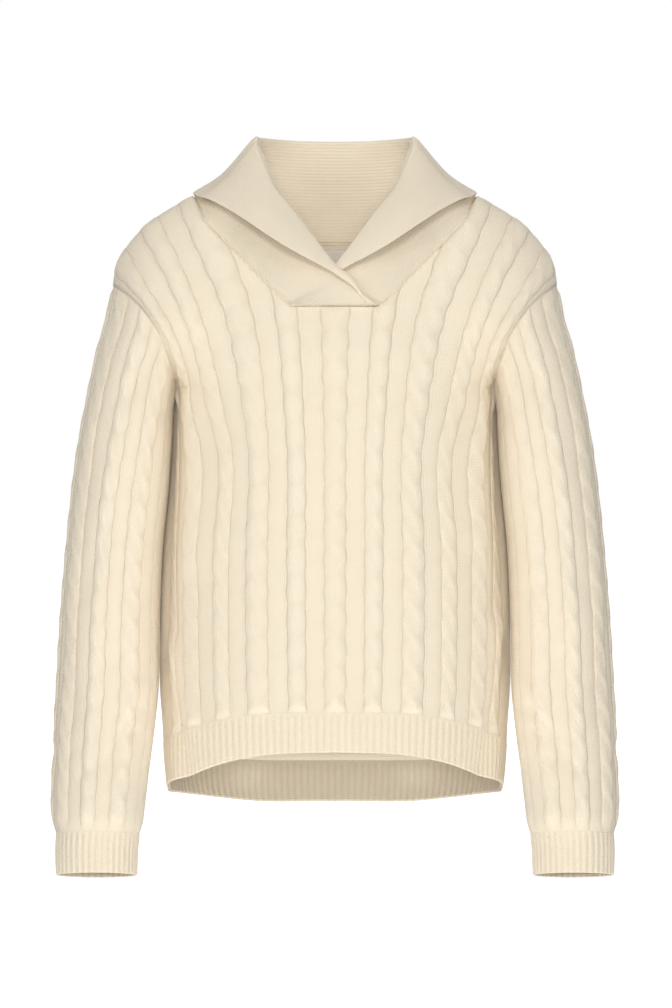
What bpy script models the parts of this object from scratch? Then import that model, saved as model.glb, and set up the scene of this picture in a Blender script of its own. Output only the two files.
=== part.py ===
"""Cable-knit pullover with a shawl collar, standing open as if worn.

Ten knitted pieces, each a closed wall of its own: front and back panel, two
sleeves, two cuffs, two hem ribs, the shawl collar and the bare neck label.
Sizes in the tables are millimetres; the meshes are made in metres, +Z up. The
front faces -Y, the wearer's left is +X, and the origin lies midway between the
two points where the shoulder seams meet the collar, 10 mm below them.
"""
import math

import bmesh
import bpy
import numpy as np

MM = 0.001
SEAM_GAP = 0.3                 # between two pieces at a seam
HEM_GAP = 0.6                  # the same above the hem ribs, whose edge is finer

# ---- the panels ----------------------------------------------------------
PANEL_WALL = 3.0
SIDE_COLUMN = 224.0            # knitted half width, from the middle to the side seam
UNDERARM = (158.0, 0.0, -183.0)
SHOULDER_TIP = (221.8, 0.0, -82.0)
ARMHOLE_HALF_DEPTH = 84.0
ARMHOLE_SCOOP = 14.0           # how far the armhole's front and back bow in and up
SEAM_FACING = 58.0             # degrees a panel has turned to the side at the armhole
NECK_POINT_X = 142.0

# z, half width, front y, side y, back y
BODY_SECTIONS = (
    (-183, 158.0, -118, 0, 112),
    (-210, 161.5, -119, 13, 112),
    (-240, 163.8, -119, 21, 112),
    (-285, 167.5, -118, 26, 112),
    (-335, 172.3, -117, 28, 113),
    (-385, 175.2, -116, 28, 114),
    (-435, 176.3, -115, 26, 117),
    (-480, 175.8, -114, 24, 119),
    (-515, 173.5, -113, 21, 119),
    (-560, 170.5, -111, 17, 118),
    (-585, 167.5, -110, 14, 117),
    (-610, 161.0, -109, 12, 116),
)
BODY_ROUNDNESS = 2.4           # superellipse power at the underarm, 2 at the shoulder

# Upper body, middle line from the front underarm level (-1) over the shoulders'
# ridge (0), which is only there to shape them, to the back underarm level (1):
# key, y, z
MIDDLE_LINE = (
    (-1.00, -118, -183),
    (-0.82, -115, -143),
    (-0.64, -103, -103),
    (-0.46, -85, -62),
    (-0.30, -62, -20),
    (-0.16, -37, 13),
    (-0.06, -12, 33),
    (0.00, 5, 35.5),
    (0.06, 22, 34),
    (0.16, 50, 15),
    (0.34, 86, -30),
    (0.50, 99, -70),
    (0.64, 106, -104),
    (0.82, 111, -143),
    (1.00, 112, -183),
)
UPPER_RISE = 220.0             # length of the upper body's columns at the middle

# Hem: distance from the middle along the knit, bottom edge, top of the rib.
FRONT_HEM = ((0, -542, -503), (70, -546, -505), (103, -553, -510), (134, -563, -518),
             (160, -570, -525), (185, -575, -531), (206, -580, -535), (224, -587, -539))
BACK_HEM = ((0, -603, -561), (85, -602, -560), (120, -598, -557), (160, -593, -552),
            (190, -590, -549), (210, -588.5, -547.5), (224, -587, -546))

# Neckline seen from the front: distance from the middle, height.
FRONT_NECK = ((0, -105), (43, -105), (63, -88), (79.5, -70), (95.5, -54), (110, -39), (126, -22),
              (137, -7), (142, 8.3))
BACK_NECK = ((0, -35), (45, -34), (80, -28), (115, -14), (142, 8.3))

# Folds of the panels, ridge (+) or trough (-): side, from column and z, to column
# and z, half width, height
PANEL_FOLDS = (
    ("front", 196, -215, 168, -400, 15, -4.5),
    ("front", 150, -200, 138, -330, 18, 3.5),
    ("front", -198, -210, -170, -420, 15, -5.0),
    ("front", -152, -195, -136, -350, 18, 3.5),
    ("front", 186, -440, 150, -560, 15, -4.0),
    ("front", -184, -450, -150, -565, 15, -4.0),
    ("back", 190, -215, 160, -420, 16, -5.0),
    ("back", -192, -210, -158, -440, 16, -5.0),
    ("back", 60, -90, 20, -230, 22, -4.0),
    ("back", -64, -95, -26, -250, 22, -4.0),
    ("back", 120, -420, 80, -560, 20, -4.0),
    ("back", -118, -400, -84, -560, 20, -4.0),
)

# ---- cables ---------------------------------------------------------------
CABLE_PITCH = 38.0
WIDE_CABLE, NARROW_CABLE = 22.0, 18.0
WIDE_RISE, NARROW_RISE = 3.4, 2.8
PURL_DEPTH = 0.8               # groove at each side of a cable
TWIST = 30.0                   # one crossing of the cable
TWIST_SLANT = 22.0             # part of it along which a strand runs down to the right
CREST_SWING = 0.15             # crest's sideways travel, as a share of the cable's width
PANEL_CABLES = 4               # on each side of the middle one
SIDE_CALM, RELIEF_LEFT = 0.10, 0.12    # share of the half width over which relief sinks, and to what
SIDE_COLUMNS = (178, 193, 208)  # plain ones, between the last cable and the side seam
NECK_COLUMN = 2 * CABLE_PITCH  # column that ends at the neck point
INNER_COLUMNS = (0, 28, 52, NECK_COLUMN, 104, 132, 162, 192, SIDE_COLUMN)
INNER_ROWS = 17
ROW_CLEARANCE = 0.035          # levels between the neckline and the last full row below it
LOWEST_LEVEL = HEM_GAP / 320   # a gap above the hem rib, and a gap below the shoulder line
HIGHEST_LEVEL = 2 - SEAM_GAP / UPPER_RISE * 0.7
END_RELIEF = 0.2               # share of a cable's relief left at its two ends

# Fan of the knit: the share of the half width at which each column lies, by level
# (0 on the hem rib, 1 at the underarm, 2 on the shoulder). The middle's share is
# 0 and the side seam's 1; the table has the knots between.
FAN_KNOTS = (0, 38, 76, 114, 152, 166, 201, SIDE_COLUMN)
FAN = (
    (-1.0, 0.148, 0.310, 0.463, 0.608, 0.664, 0.800),
    (0.00, 0.150, 0.312, 0.465, 0.610, 0.666, 0.800),
    (0.50, 0.158, 0.323, 0.477, 0.630, 0.690, 0.830),
    (0.82, 0.168, 0.335, 0.492, 0.655, 0.725, 0.870),
    (1.00, 0.189, 0.374, 0.584, 0.765, 0.840, 0.940),
    (1.10, 0.198, 0.395, 0.621, 0.817, 0.895, 0.965),
    (1.20, 0.215, 0.430, 0.673, 0.868, 0.930, 0.975),
    (1.35, 0.246, 0.485, 0.733, 0.913, 0.960, 0.985),
    (1.50, 0.259, 0.519, 0.748, 0.932, 0.972, 0.985),
    (1.65, 0.248, 0.523, 0.727, 0.930, 0.972, 0.985),
    (1.80, 0.217, 0.484, 0.681, 0.895, 0.962, 0.985),
    (1.90, 0.199, 0.453, 0.650, 0.866, 0.955, 0.985),
    (2.00, 0.192, 0.4423, 0.638, 0.850, 0.950, 0.985),
)

# ---- sleeves --------------------------------------------------------------
SLEEVE_WALL = 3.0
# inner x and z, outer x and z, centre y, half depth, tilt, scoop
SLEEVE_RINGS = (
    (158.0, -183, 221.8, -82, 0, 84, 0, 14),
    (159.8, -194, 227.2, -112, -3, 83.5, 0, 12),
    (161.3, -206, 235.0, -140, -6, 82, 0, 9),
    (162.6, -240, 246.0, -192, -13, 78, 0, 5),
    (166.0, -285, 256.0, -248, -17, 73, 0, 2),
    (171.2, -335, 263.5, -312, -19, 67.5, 1, 0),
    (174.2, -385, 269.0, -372, -21, 62.5, 2, 0),
    (175.4, -435, 273.0, -428, -23, 58, 3, 0),
    (175.6, -480, 275.5, -476, -25, 53, 4, 0),
    (179.2, -520, 278.0, -518, -28, 50, 6, 0),
    (185.0, -565, 279.5, -564, -33, 46, 8, 0),
    (189.0, -600, 280.0, -600, -38, 43, 9, 0),
    (191.0, -616, 279.0, -616, -40, 41, 10, 0),
    (194.0, -626, 277.0, -626, -41, 38, 10, 0),
)
SLEEVE_CABLES = 9
SLEEVE_FIRST_CABLE = 62.0      # degrees round the sleeve, 0 inside, 90 in front
SLEEVE_NARROW = (1, 3, 5, 7, 8)
SLEEVE_RADIUS = 52.0           # turns an angle round the sleeve into a distance
SLEEVE_END, SLEEVE_END_RELIEF = 5.0, 0.3
SLEEVE_STEP = 0.9              # off the armhole seam
INNER_SIDES, INNER_STATIONS = 16, 14

# ---- ribs -----------------------------------------------------------------
HEM_WALL = 2.8
HEM_RIB_PITCH = 6.6
HEM_INNER_COLUMNS = 19
HEM_TOP = -SEAM_GAP / 80       # level of the rib's upper edge
CUFF_WALL = 2.8
CUFF_RIBS = 38
RIB_RISE = 1.1
GROOVE_SHARE = 0.3             # a rib's groove, as a share of its rise
CUFF_RINGS = (
    (194.3, -626.6, 276.8, -626.6, -41, 37.5, 10, 0),
    (195.5, -640.0, 277.0, -640.0, -42.5, 35.5, 10, 0),
    (196.0, -655.0, 276.6, -655.0, -44, 34, 10, 0),
    (196.5, -667.0, 276.0, -667.0, -45, 33, 10, 0),
)

# ---- collar ---------------------------------------------------------------
COLLAR_WALL = 2.8
COLLAR_RIB_PITCH = 3.3
COLLAR_RIB_RISE = 0.7
COLLAR_ROLL_RADIUS = 4.2
RAISED_RIB_PITCH = 3 * COLLAR_RIB_PITCH    # one raised rib is three knitted ones
COLLAR_SEAM_GAP = 0.45
BASE_GAP = 0.5
# neckline, its x; roll x, y, z; edge x, y, z; how far the fall and the stand bow out, and sag
COLLAR_SECTIONS = (
    ("back", 0, 0, 80, 66, 0, 112, -36, 5, -2, 0),
    ("back", 50, 36, 76, 66.5, 52, 107, -33, 5, -2, 0),
    ("back", 95, 62, 58, 67, 98, 86, -19, 4, -1, 3),
    ("back", 127, 75, 36, 66.5, 131, 52, 1.5, 2, 2, 6),
    ("front", 141.9, 77.5, 10, 65, 141.5, 0, 10.8, 0, 4, 7),
    ("front", 136.5, 78, 1, 60, 135, -28, 6.5, 1, 5, 7),
    ("front", 127, 76.5, -9, 53.5, 126, -44, 3.5, 2, 5, 6),
    ("front", 107, 70.5, -24, 38, 107, -61, -7, 3, 3, 3),
    ("front", 92, 60, -40, 14, 88, -74, -19.5, 3, 1, 0),
    ("front", 78, 41.5, -57, -9.5, 70, -84, -32, 3, -1, 0),
    ("front", 66, 24.5, -76, -33, 52, -93, -44, 2, -1, 0),
    ("front", 56, 11, -89, -51.5, 33, -100, -55, 1, 0, 0),
    ("front", 48, -2, -98, -67, 9, -103.5, -68, 0, 0, 0),
    ("front", 44.5, -18, -101, -80, -12, -103.5, -82, 0, 0, 0),
)
BASE_HALF_WIDTH = 42.5
BASE_SPREAD = (1.0, 0.5, -0.5, -0.72, -0.80, -0.86, -1.0)    # seam, stand, roll, fall, edge
OVER_LIFT = 1.6                # the wearer's right end lies over the left one
UNDER_DROP = 3.4

LABEL_WIDTH, LABEL_HEIGHT, LABEL_THICKNESS = 50.0, 22.0, 1.0
LABEL_TOP = -38.0
LABEL_OFF_WALL = 1.2           # clear of the panel's plain inside
LABEL_KNIT_WIDTH = 0.8         # knitted columns per millimetre of the label's width

MATERIALS = {
    "knit": ((0.89, 0.78, 0.60, 1.0), 0.92),
    "rib": ((0.86, 0.75, 0.57, 1.0), 0.92),
    "label": ((0.52, 0.48, 0.43, 1.0), 0.75),
}


# ---- curves and tables ----------------------------------------------------
def smooth(keys, values, x):
    """Smooth curve through the rows of a table, read at x (keys rise)."""
    keys = np.asarray(keys, float)
    values = np.asarray(values, float)
    slopes = np.gradient(values, keys, axis=0)
    x = np.clip(np.asarray(x, float), keys[0], keys[-1])
    i = np.clip(np.searchsorted(keys, x) - 1, 0, len(keys) - 2)
    span = keys[i + 1] - keys[i]
    f = (x - keys[i]) / span
    if values.ndim == 2:
        f, span = f[..., None], span[..., None]
    rise = f * f * (3 - 2 * f)
    return ((1 - rise) * values[i] + rise * values[i + 1]
            + span * slopes[i] * f * (1 - f) ** 2 - span * slopes[i + 1] * f * f * (1 - f))


def smooth_rows(keys, rows, x):
    """The same through each entry's own rows: rows (..., key, value), x (...)."""
    keys = np.asarray(keys, float)
    slopes = np.gradient(rows, keys, axis=-2)
    first = np.clip(np.searchsorted(keys, x) - 1, 0, len(keys) - 2)
    span = (keys[first + 1] - keys[first])[..., None]
    f = (np.clip(x, keys[0], keys[-1]) - keys[first])[..., None] / span
    start, end, leave, arrive = [
        np.take_along_axis(table, (first + step)[..., None, None], axis=-2)[..., 0, :]
        for table in (rows, slopes) for step in (0, 1)]
    rise = f * f * (3 - 2 * f)
    return (1 - rise) * start + rise * end + span * (leave * f * (1 - f) ** 2 - arrive * f * f * (1 - f))


def step_up(x, low, high):
    """0 below low, 1 above high, smooth between."""
    f = np.clip((x - low) / (high - low), 0, 1)
    return f * f * (3 - 2 * f)


def column(table, index):
    return [row[index] for row in table]


def superellipse_angles(roundness, width, depth, steps=600):
    """Share of the arc from the middle to the side, against the angle."""
    angle = np.linspace(0, math.pi / 2, steps)
    x = width * np.sin(angle) ** (2 / roundness)
    y = depth * np.cos(angle) ** (2 / roundness)
    arc = np.concatenate(([0], np.cumsum(np.hypot(np.diff(x), np.diff(y)))))
    return arc / arc[-1], angle


ARC_SHARE, ARC_ANGLE = superellipse_angles(BODY_ROUNDNESS, 170, 120)


# ---- the body's surface -----------------------------------------------------
def sleeve_direction(hand):
    """Out and down, square to the armhole's plane."""
    return np.array((0.8 * hand, 0.0, -0.6))


def scooped(hand, depth):
    """Step in and up, along the middle line of the armhole's plane."""
    return -np.asarray(depth)[..., None] * sleeve_direction(hand)


def armhole(side, w):
    """Point of the armhole seam, w from 0 at the underarm to 1 at the tip."""
    rise = (1 - np.cos(np.pi * w)) / 2
    forward = -1 if side == "front" else 1
    start, end = np.array(UNDERARM), np.array(SHOULDER_TIP)
    point = start + rise[..., None] * (end - start)
    point[..., 1] += forward * ARMHOLE_HALF_DEPTH * np.sin(np.pi * w)
    return point + scooped(1, ARMHOLE_SCOOP * np.sin(np.pi * w) ** 2)


def middle_line(key):
    """Depth and height of the upper body's middle line."""
    return smooth(column(MIDDLE_LINE, 0), [row[1:] for row in MIDDLE_LINE], key)


def fold_height(side, u, z):
    """Sum of the soft folds at knit column u and height z."""
    total = np.zeros(np.broadcast(u, z).shape)
    for where, u0, z0, u1, z1, half_width, height in PANEL_FOLDS:
        if where != side:
            continue
        along = ((u - u0) * (u1 - u0) + (z - z0) * (z1 - z0)) / ((u1 - u0) ** 2 + (z1 - z0) ** 2)
        nearest = np.clip(along, 0, 1)
        gap = np.hypot(u - u0 - nearest * (u1 - u0), z - z0 - nearest * (z1 - z0))
        total = total + height * np.exp(-(gap / half_width) ** 2)
    return total


def torso(side, t, level):
    """Point of a panel's surface.

    t runs from -1 at the wearer's right side seam to 1 at the left one; level
    is -1 at the hem's edge, 0 on top of the rib, 1 at the underarm and 2 on
    the shoulder line.
    """
    t, level = np.broadcast_arrays(np.asarray(t, float), np.asarray(level, float))
    share = np.abs(t)
    w = np.clip(level - 1, 0, 1)
    hem = FRONT_HEM if side == "front" else BACK_HEM
    bottom = smooth(column(hem, 0), column(hem, 1), share * SIDE_COLUMN)
    top = smooth(column(hem, 0), column(hem, 2), share * SIDE_COLUMN)
    z = np.where(level < 0, top + (top - bottom) * level, top + (UNDERARM[2] - top) * np.minimum(level, 1))
    depth = [-row[0] for row in BODY_SECTIONS]
    half = smooth(depth, column(BODY_SECTIONS, 1), -z)
    middle_y = smooth(depth, column(BODY_SECTIONS, 2 if side == "front" else 4), -z)
    side_y = smooth(depth, column(BODY_SECTIONS, 3), -z)

    angle = (1 - w) * np.interp(share, ARC_SHARE, ARC_ANGLE) + w * share * np.pi / 2
    power = 2 / (BODY_ROUNDNESS + (2 - BODY_ROUNDNESS) * w)
    turn = np.pi / 2 - math.radians(90 - SEAM_FACING) * np.sin(np.pi * w) ** 2
    angle = angle * turn / (np.pi / 2)
    left_over = np.abs(np.cos(turn)) ** power
    across = (np.sin(angle) / np.sin(turn)) ** power
    inward = (np.abs(np.cos(angle)) ** power - left_over) / (1 - left_over)

    facing = -1 if side == "front" else 1
    high_y, high_z = np.moveaxis(middle_line(facing * (1 - w)), -1, 0)
    seam = armhole(side, w)
    upper = level > 1
    x = np.where(upper, seam[..., 0], half) * across
    high = seam[..., 1] + (high_y - seam[..., 1]) * inward
    y = np.where(upper, high, side_y + (middle_y - side_y) * inward)
    z = np.where(upper, seam[..., 2] + (high_z - seam[..., 2]) * inward, z)

    fade = np.clip((1.6 - level) / 0.6, 0, 1) * np.clip((1 - share) / 0.06, 0, 1)
    fold = fold_height(side, t * SIDE_COLUMN, z) * fade
    return np.stack((np.sign(t) * (x + across * fold), y + facing * inward * fold, z), axis=-1)


def surface_normal(surface, a, b, outward):
    """Unit normals of a surface of two parameters, turned to the given side."""
    small = 1e-3
    along = surface(a + small, b) - surface(a - small, b)
    up = surface(a, b + small) - surface(a, b - small)
    normal = np.cross(along, up)
    normal /= np.linalg.norm(normal, axis=-1)[..., None]
    flip = np.sum(normal * outward, axis=-1) < 0
    normal[flip] *= -1
    return normal


def torso_offset(side, t, level, height):
    """Point of a panel, moved out of its surface by a height."""
    t = np.clip(t, -0.9985, 0.9985)
    point = torso(side, t, level)
    outward = point * (0.35, 1.0, 0.0)
    outward[..., 2] = np.clip(point[..., 2] + 150, 0, None)
    level = np.clip(level, -0.999, 1.999)
    normal = surface_normal(lambda a, b: torso(side, a, b), t, level, outward)
    return point + np.asarray(height)[..., None] * normal


def column_share(u, level):
    """Where knit column u lies on its row, as a share of the half width."""
    u, level = np.broadcast_arrays(np.asarray(u, float), np.asarray(level, float))
    shares = smooth(column(FAN, 0), [row[1:] for row in FAN], level)
    zero, one = np.zeros(level.shape + (1,)), np.ones(level.shape + (1,))
    rows = np.concatenate((zero, shares, one), axis=-1)[..., None]
    return np.sign(u) * smooth_rows(FAN_KNOTS, rows, np.abs(u))[..., 0]


def neckline_height(side, x):
    """Height of the neckline at a distance from the middle; it ends at the neck point."""
    table = FRONT_NECK if side == "front" else BACK_NECK
    return np.interp(np.abs(x), column(table, 0), column(table, 1))


def top_level(side, u):
    """Level at which knit column u ends: on the neckline, or at 2 on the shoulder."""
    if abs(u) >= NECK_COLUMN - 1e-6:
        return 2.0
    low, high = 1.0, 2.0
    for _ in range(40):
        middle = (low + high) / 2
        point = torso(side, column_share(u, middle), middle)
        if point[2] > neckline_height(side, point[0]):
            high = middle
        else:
            low = middle
    return low


def neckline_path(side, columns, rows):
    """Points (column, level) of the neckline from the middle to the neck point.

    They are the tops of the given columns, the ends of the given rows, the
    neck point and, in front, the corner of the base.
    """
    fine = np.linspace(0, NECK_COLUMN, 120)
    levels = np.array([top_level(side, u) for u in fine])
    x = torso(side, column_share(fine, levels), levels)[:, 0]
    path = {round(float(u), 4) for u in columns if 0 <= u <= NECK_COLUMN} | {0.0, NECK_COLUMN}
    if side == "front":
        path.add(round(float(np.interp(FRONT_NECK[1][0], x, fine)), 4))
    for level in rows:
        u = round(float(np.interp(level, levels, fine)), 4)
        if levels[0] + 0.03 < level < 1.97 and min(abs(u - other) for other in path) > 2.5:
            path.add(u)
    return [(u, float(np.interp(u, fine, levels))) for u in sorted(path)], (x, fine)


# ---- meshes ---------------------------------------------------------------
def zip_chains(a, b):
    """Triangles between two chains of (index, parameter), matched by parameter."""
    faces, i, j = [], 0, 0
    while i < len(a) - 1 or j < len(b) - 1:
        if j == len(b) - 1 or (i < len(a) - 1 and a[i + 1][1] <= b[j + 1][1] + 1e-9):
            faces.append((a[i][0], a[i + 1][0], b[j][0]))
            i += 1
        else:
            faces.append((a[i][0], b[j + 1][0], b[j][0]))
            j += 1
    return faces


class Wall:
    """A closed wall: a detailed outer skin, a plain inner one, and rims between."""

    def __init__(self):
        self.points = []
        self.faces = []

    def chain(self, points, parameters):
        first = len(self.points)
        self.points.extend(points)
        return [(first + k, parameter) for k, parameter in enumerate(parameters)]

    def skin(self, chains, closed=False):
        for k in range(len(chains) - 1):
            self.faces += zip_chains(chains[k], chains[k + 1])
        if closed:
            self.faces += zip_chains(chains[-1], chains[0])

    def rim(self, outer, inner, closed=False):
        self.faces += zip_chains(outer, inner)
        if closed:
            self.faces.append((outer[-1][0], outer[0][0], inner[-1][0]))
            self.faces.append((outer[0][0], inner[0][0], inner[-1][0]))

    def build(self, name, material):
        mesh = bpy.data.meshes.new(name)
        mesh.from_pydata([tuple(float(c) * MM for c in p) for p in self.points], [], self.faces)
        form = bmesh.new()
        form.from_mesh(mesh)
        bmesh.ops.recalc_face_normals(form, faces=form.faces)
        if form.calc_volume(signed=True) < 0:
            bmesh.ops.reverse_faces(form, faces=form.faces)
        form.to_mesh(mesh)
        form.free()
        mesh.update()
        mesh.shade_smooth()
        mesh.set_sharp_from_angle(angle=math.radians(50))
        mesh.materials.append(material)
        obj = bpy.data.objects.new(name, mesh)
        PARTS.objects.link(obj)
        return obj


def sheet_wall(name, material, outer, inner):
    """Wall of an open piece from outer and inner chains of (points, up, across).

    A chain's bridge holds the points of the top edge between it and the next.
    """
    wall = Wall()
    rims = []
    for chains in (outer, inner):
        made = [wall.chain(c["points"], c["up"]) for c in chains]
        tops = []
        for k, c in enumerate(chains[:-1]):
            left, right = list(made[k]), list(made[k + 1])
            extension = wall.chain(c["bridge"], c["bridge_up"])
            tops += [(left[-1][0], c["across"])] + [
                (index, across) for (index, _), across in zip(extension, c["bridge_across"])]
            if c["bridge_up"] and left[-1][1] <= right[-1][1]:
                left += extension
            elif c["bridge_up"]:
                right += extension[::-1]
            wall.faces += zip_chains(left, right)
        tops.append((made[-1][-1][0], chains[-1]["across"]))
        bottoms = [(m[0][0], c["across"]) for m, c in zip(made, chains)]
        rims.append((made[0], made[-1], bottoms, tops))
    for out, inn in zip(*rims):
        wall.rim(out, inn)
    return wall.build(name, material)


def plain_chain(points, up, across):
    return {"points": points, "up": list(up), "across": across,
            "bridge": [], "bridge_up": [], "bridge_across": []}


def tube_wall(name, material, outer, inner):
    """Wall of a tube from chains that run along it, in order round it."""
    wall = Wall()
    skins = []
    for chains in (outer, inner):
        made = [wall.chain(points, along) for points, along, _ in chains]
        wall.skin(made, closed=True)
        skins.append((made, [around for _, _, around in chains]))
    (out, out_around), (inn, inn_around) = skins
    for end in (0, -1):
        wall.rim([(c[end][0], a) for c, a in zip(out, out_around)],
                 [(c[end][0], a) for c, a in zip(inn, inn_around)], closed=True)
    return wall.build(name, material)


def twist_rows(length):
    """Distances along a column of the rows where a cable's crest turns."""
    rows, turn = [(0.0, 1)], 0
    while True:
        for distance, lean in ((turn * TWIST + TWIST_SLANT, -1), ((turn + 1) * TWIST, 1)):
            if distance > length - TWIST * 0.2:
                return rows
            rows.append((distance, lean))
        turn += 1


def cable_columns(centre, wide):
    """A cable's grooves and its crest: column, height and sideways swing."""
    width = WIDE_CABLE if wide else NARROW_CABLE
    rise = WIDE_RISE if wide else NARROW_RISE
    return ((centre - width / 2, -PURL_DEPTH, 0.0), (centre, rise, width * CREST_SWING),
            (centre + width / 2, -PURL_DEPTH, 0.0))


# ---- panels -----------------------------------------------------------------
def panel_columns():
    columns = []
    for k in range(-PANEL_CABLES, PANEL_CABLES + 1):
        columns += cable_columns(k * CABLE_PITCH, wide=k % 2 == 0)
    plain = SIDE_COLUMNS + (SIDE_COLUMN,)
    return [(-u, 0.0, 0.0) for u in plain[::-1]] + columns + [(u, 0.0, 0.0) for u in plain]


def panel_rows(side):
    """Rows of a panel from the rib up: level and lean of the crests."""
    table = FRONT_HEM if side == "front" else BACK_HEM
    lower = UNDERARM[2] - table[0][2]
    rows = []
    for distance, lean in twist_rows(lower + UPPER_RISE):
        level = distance / lower if distance < lower else 1 + (distance - lower) / UPPER_RISE
        rows.append((level, lean))
    return rows


def panel_point(side, u, levels, height, swing, leans):
    """Points of a knit column, raised by its relief, which dies away at the edges."""
    inside = np.clip(levels, LOWEST_LEVEL, HIGHEST_LEVEL)
    rightward = 1 if side == "front" else -1
    shares = column_share(u + rightward * leans * swing, inside)
    relief = np.clip((1 - np.abs(shares)) / SIDE_CALM, RELIEF_LEFT, 1)
    relief[[0, -1]] *= END_RELIEF
    return torso_offset(side, shares, inside, relief * height)


def panel_chains(side, columns, rows, path, wall):
    """Chains of a panel's skin; the neckline's points bridge from top to top."""
    both = sorted({(-u, level) for u, level in path} | set(path))
    chains = []
    for u, height, swing in columns:
        top = dict(path).get(round(abs(u), 4), 2.0)
        used = [row for row in rows if row[0] < top - ROW_CLEARANCE] + [(top, 0)]
        levels = [row[0] for row in used]
        leans = np.array([row[1] for row in used], float)
        points = panel_point(side, u, levels, height, swing, leans)
        if wall:
            points = points_inside(side, u, levels, wall)
        chains.append(plain_chain(points, levels, u))
    for chain, following in zip(chains, chains[1:]):
        bridge = [(u, level) for u, level in both if chain["across"] + 1e-3 < u < following["across"] - 1e-3]
        for u, level in bridge:
            point = neck_point(side, u, level, wall)
            chain["bridge"].append(point)
            chain["bridge_up"].append(level)
            chain["bridge_across"].append(u)
    return chains


def points_inside(side, u, levels, wall):
    """Points of a knit column on the plain inside of the wall."""
    inside = np.clip(levels, LOWEST_LEVEL, HIGHEST_LEVEL)
    return torso_offset(side, column_share(u, inside), inside, np.full(len(levels), -wall))


def neck_point(side, u, level, wall):
    """Rim point of the neckline: outer for a wall of 0, else that far inside."""
    level = min(level, HIGHEST_LEVEL)
    return torso_offset(side, column_share(np.array([u]), np.array([level])), np.array([level]),
                        np.array([-wall]))[0]


def make_panel(side):
    rows, path = PANEL_ROWS[side], PATHS[side]
    outer = panel_chains(side, panel_columns(), rows, path, 0.0)
    columns = [(-u, 0.0, 0.0) for u in INNER_COLUMNS[:0:-1]] + [(u, 0.0, 0.0) for u in INNER_COLUMNS]
    plain_rows = [(level, 0) for level in np.linspace(0, 2, INNER_ROWS + 1)[:-1]]
    outer_tops = dict(path)
    between = [u for u in INNER_COLUMNS if u < NECK_COLUMN and u not in outer_tops]
    inner_path = path + [(u, top_level(side, u)) for u in between]
    inner = panel_chains(side, columns, plain_rows, inner_path, PANEL_WALL)
    return sheet_wall(side + "_panel", material("knit"), outer, inner)


def make_hem(side):
    """Ribbed hem: raised ribs that run down to the edge."""
    ribs = round(2 * SIDE_COLUMN / HEM_RIB_PITCH)
    outer, inner = [], []
    levels = np.array((-1.0, HEM_TOP))
    for k in range(2 * ribs + 1):
        share = k / ribs - 1
        height = RIB_RISE if k % 2 else -RIB_RISE * GROOVE_SHARE
        taper = np.array((1.0, 0.5))
        points = torso_offset(side, np.full(2, share), levels, height * taper)
        outer.append(plain_chain(points, levels, share))
    for share in np.linspace(-1, 1, HEM_INNER_COLUMNS):
        points = torso_offset(side, np.full(2, share), levels, np.full(2, -HEM_WALL))
        inner.append(plain_chain(points, levels, share))
    return sheet_wall("hem_rib_" + side, material("rib"), outer, inner)


# ---- sleeves and cuffs ------------------------------------------------------
def ring_point(rings, hand, angle, s):
    """Point of a sleeve or cuff: angle 0 inside, 90 degrees in front, s along it."""
    keys = ring_keys(rings)
    ix, iz, ox, oz, cy, depth, tilt, scoop = np.moveaxis(smooth(keys, rings, s), -1, 0)
    cx, cz = (ix + ox) / 2, (iz + oz) / 2
    x = cx + (ix - cx) * np.cos(angle)
    y = cy - depth * np.sin(angle)
    z = cz + (iz - cz) * np.cos(angle) + tilt / 2 * np.sin(angle)
    return np.stack((hand * x, y, z), axis=-1) + scooped(hand, scoop * np.sin(angle) ** 2)


def ring_keys(rings):
    """Distance along the middle line of each ring."""
    middle = [((r[0] + r[2]) / 2, r[4], (r[1] + r[3]) / 2) for r in rings]
    steps = np.linalg.norm(np.diff(np.array(middle, float), axis=0), axis=1)
    return np.concatenate(([0], np.cumsum(steps)))


def ring_offset(rings, hand, angle, s, height):
    point = ring_point(rings, hand, angle, s)
    end = ring_keys(rings)[-1]
    centre = (ring_point(rings, hand, angle, s) + ring_point(rings, hand, angle + np.pi, s)) / 2
    inside = np.clip(s, 2e-3, end - 2e-3)
    normal = surface_normal(lambda a, b: ring_point(rings, hand, a, b), angle, inside, point - centre)
    return point + np.asarray(height)[..., None] * normal


def sleeve_shift(hand):
    """Step off the armhole seam, square to the armhole's plane."""
    return sleeve_direction(hand) * SLEEVE_STEP


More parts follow.
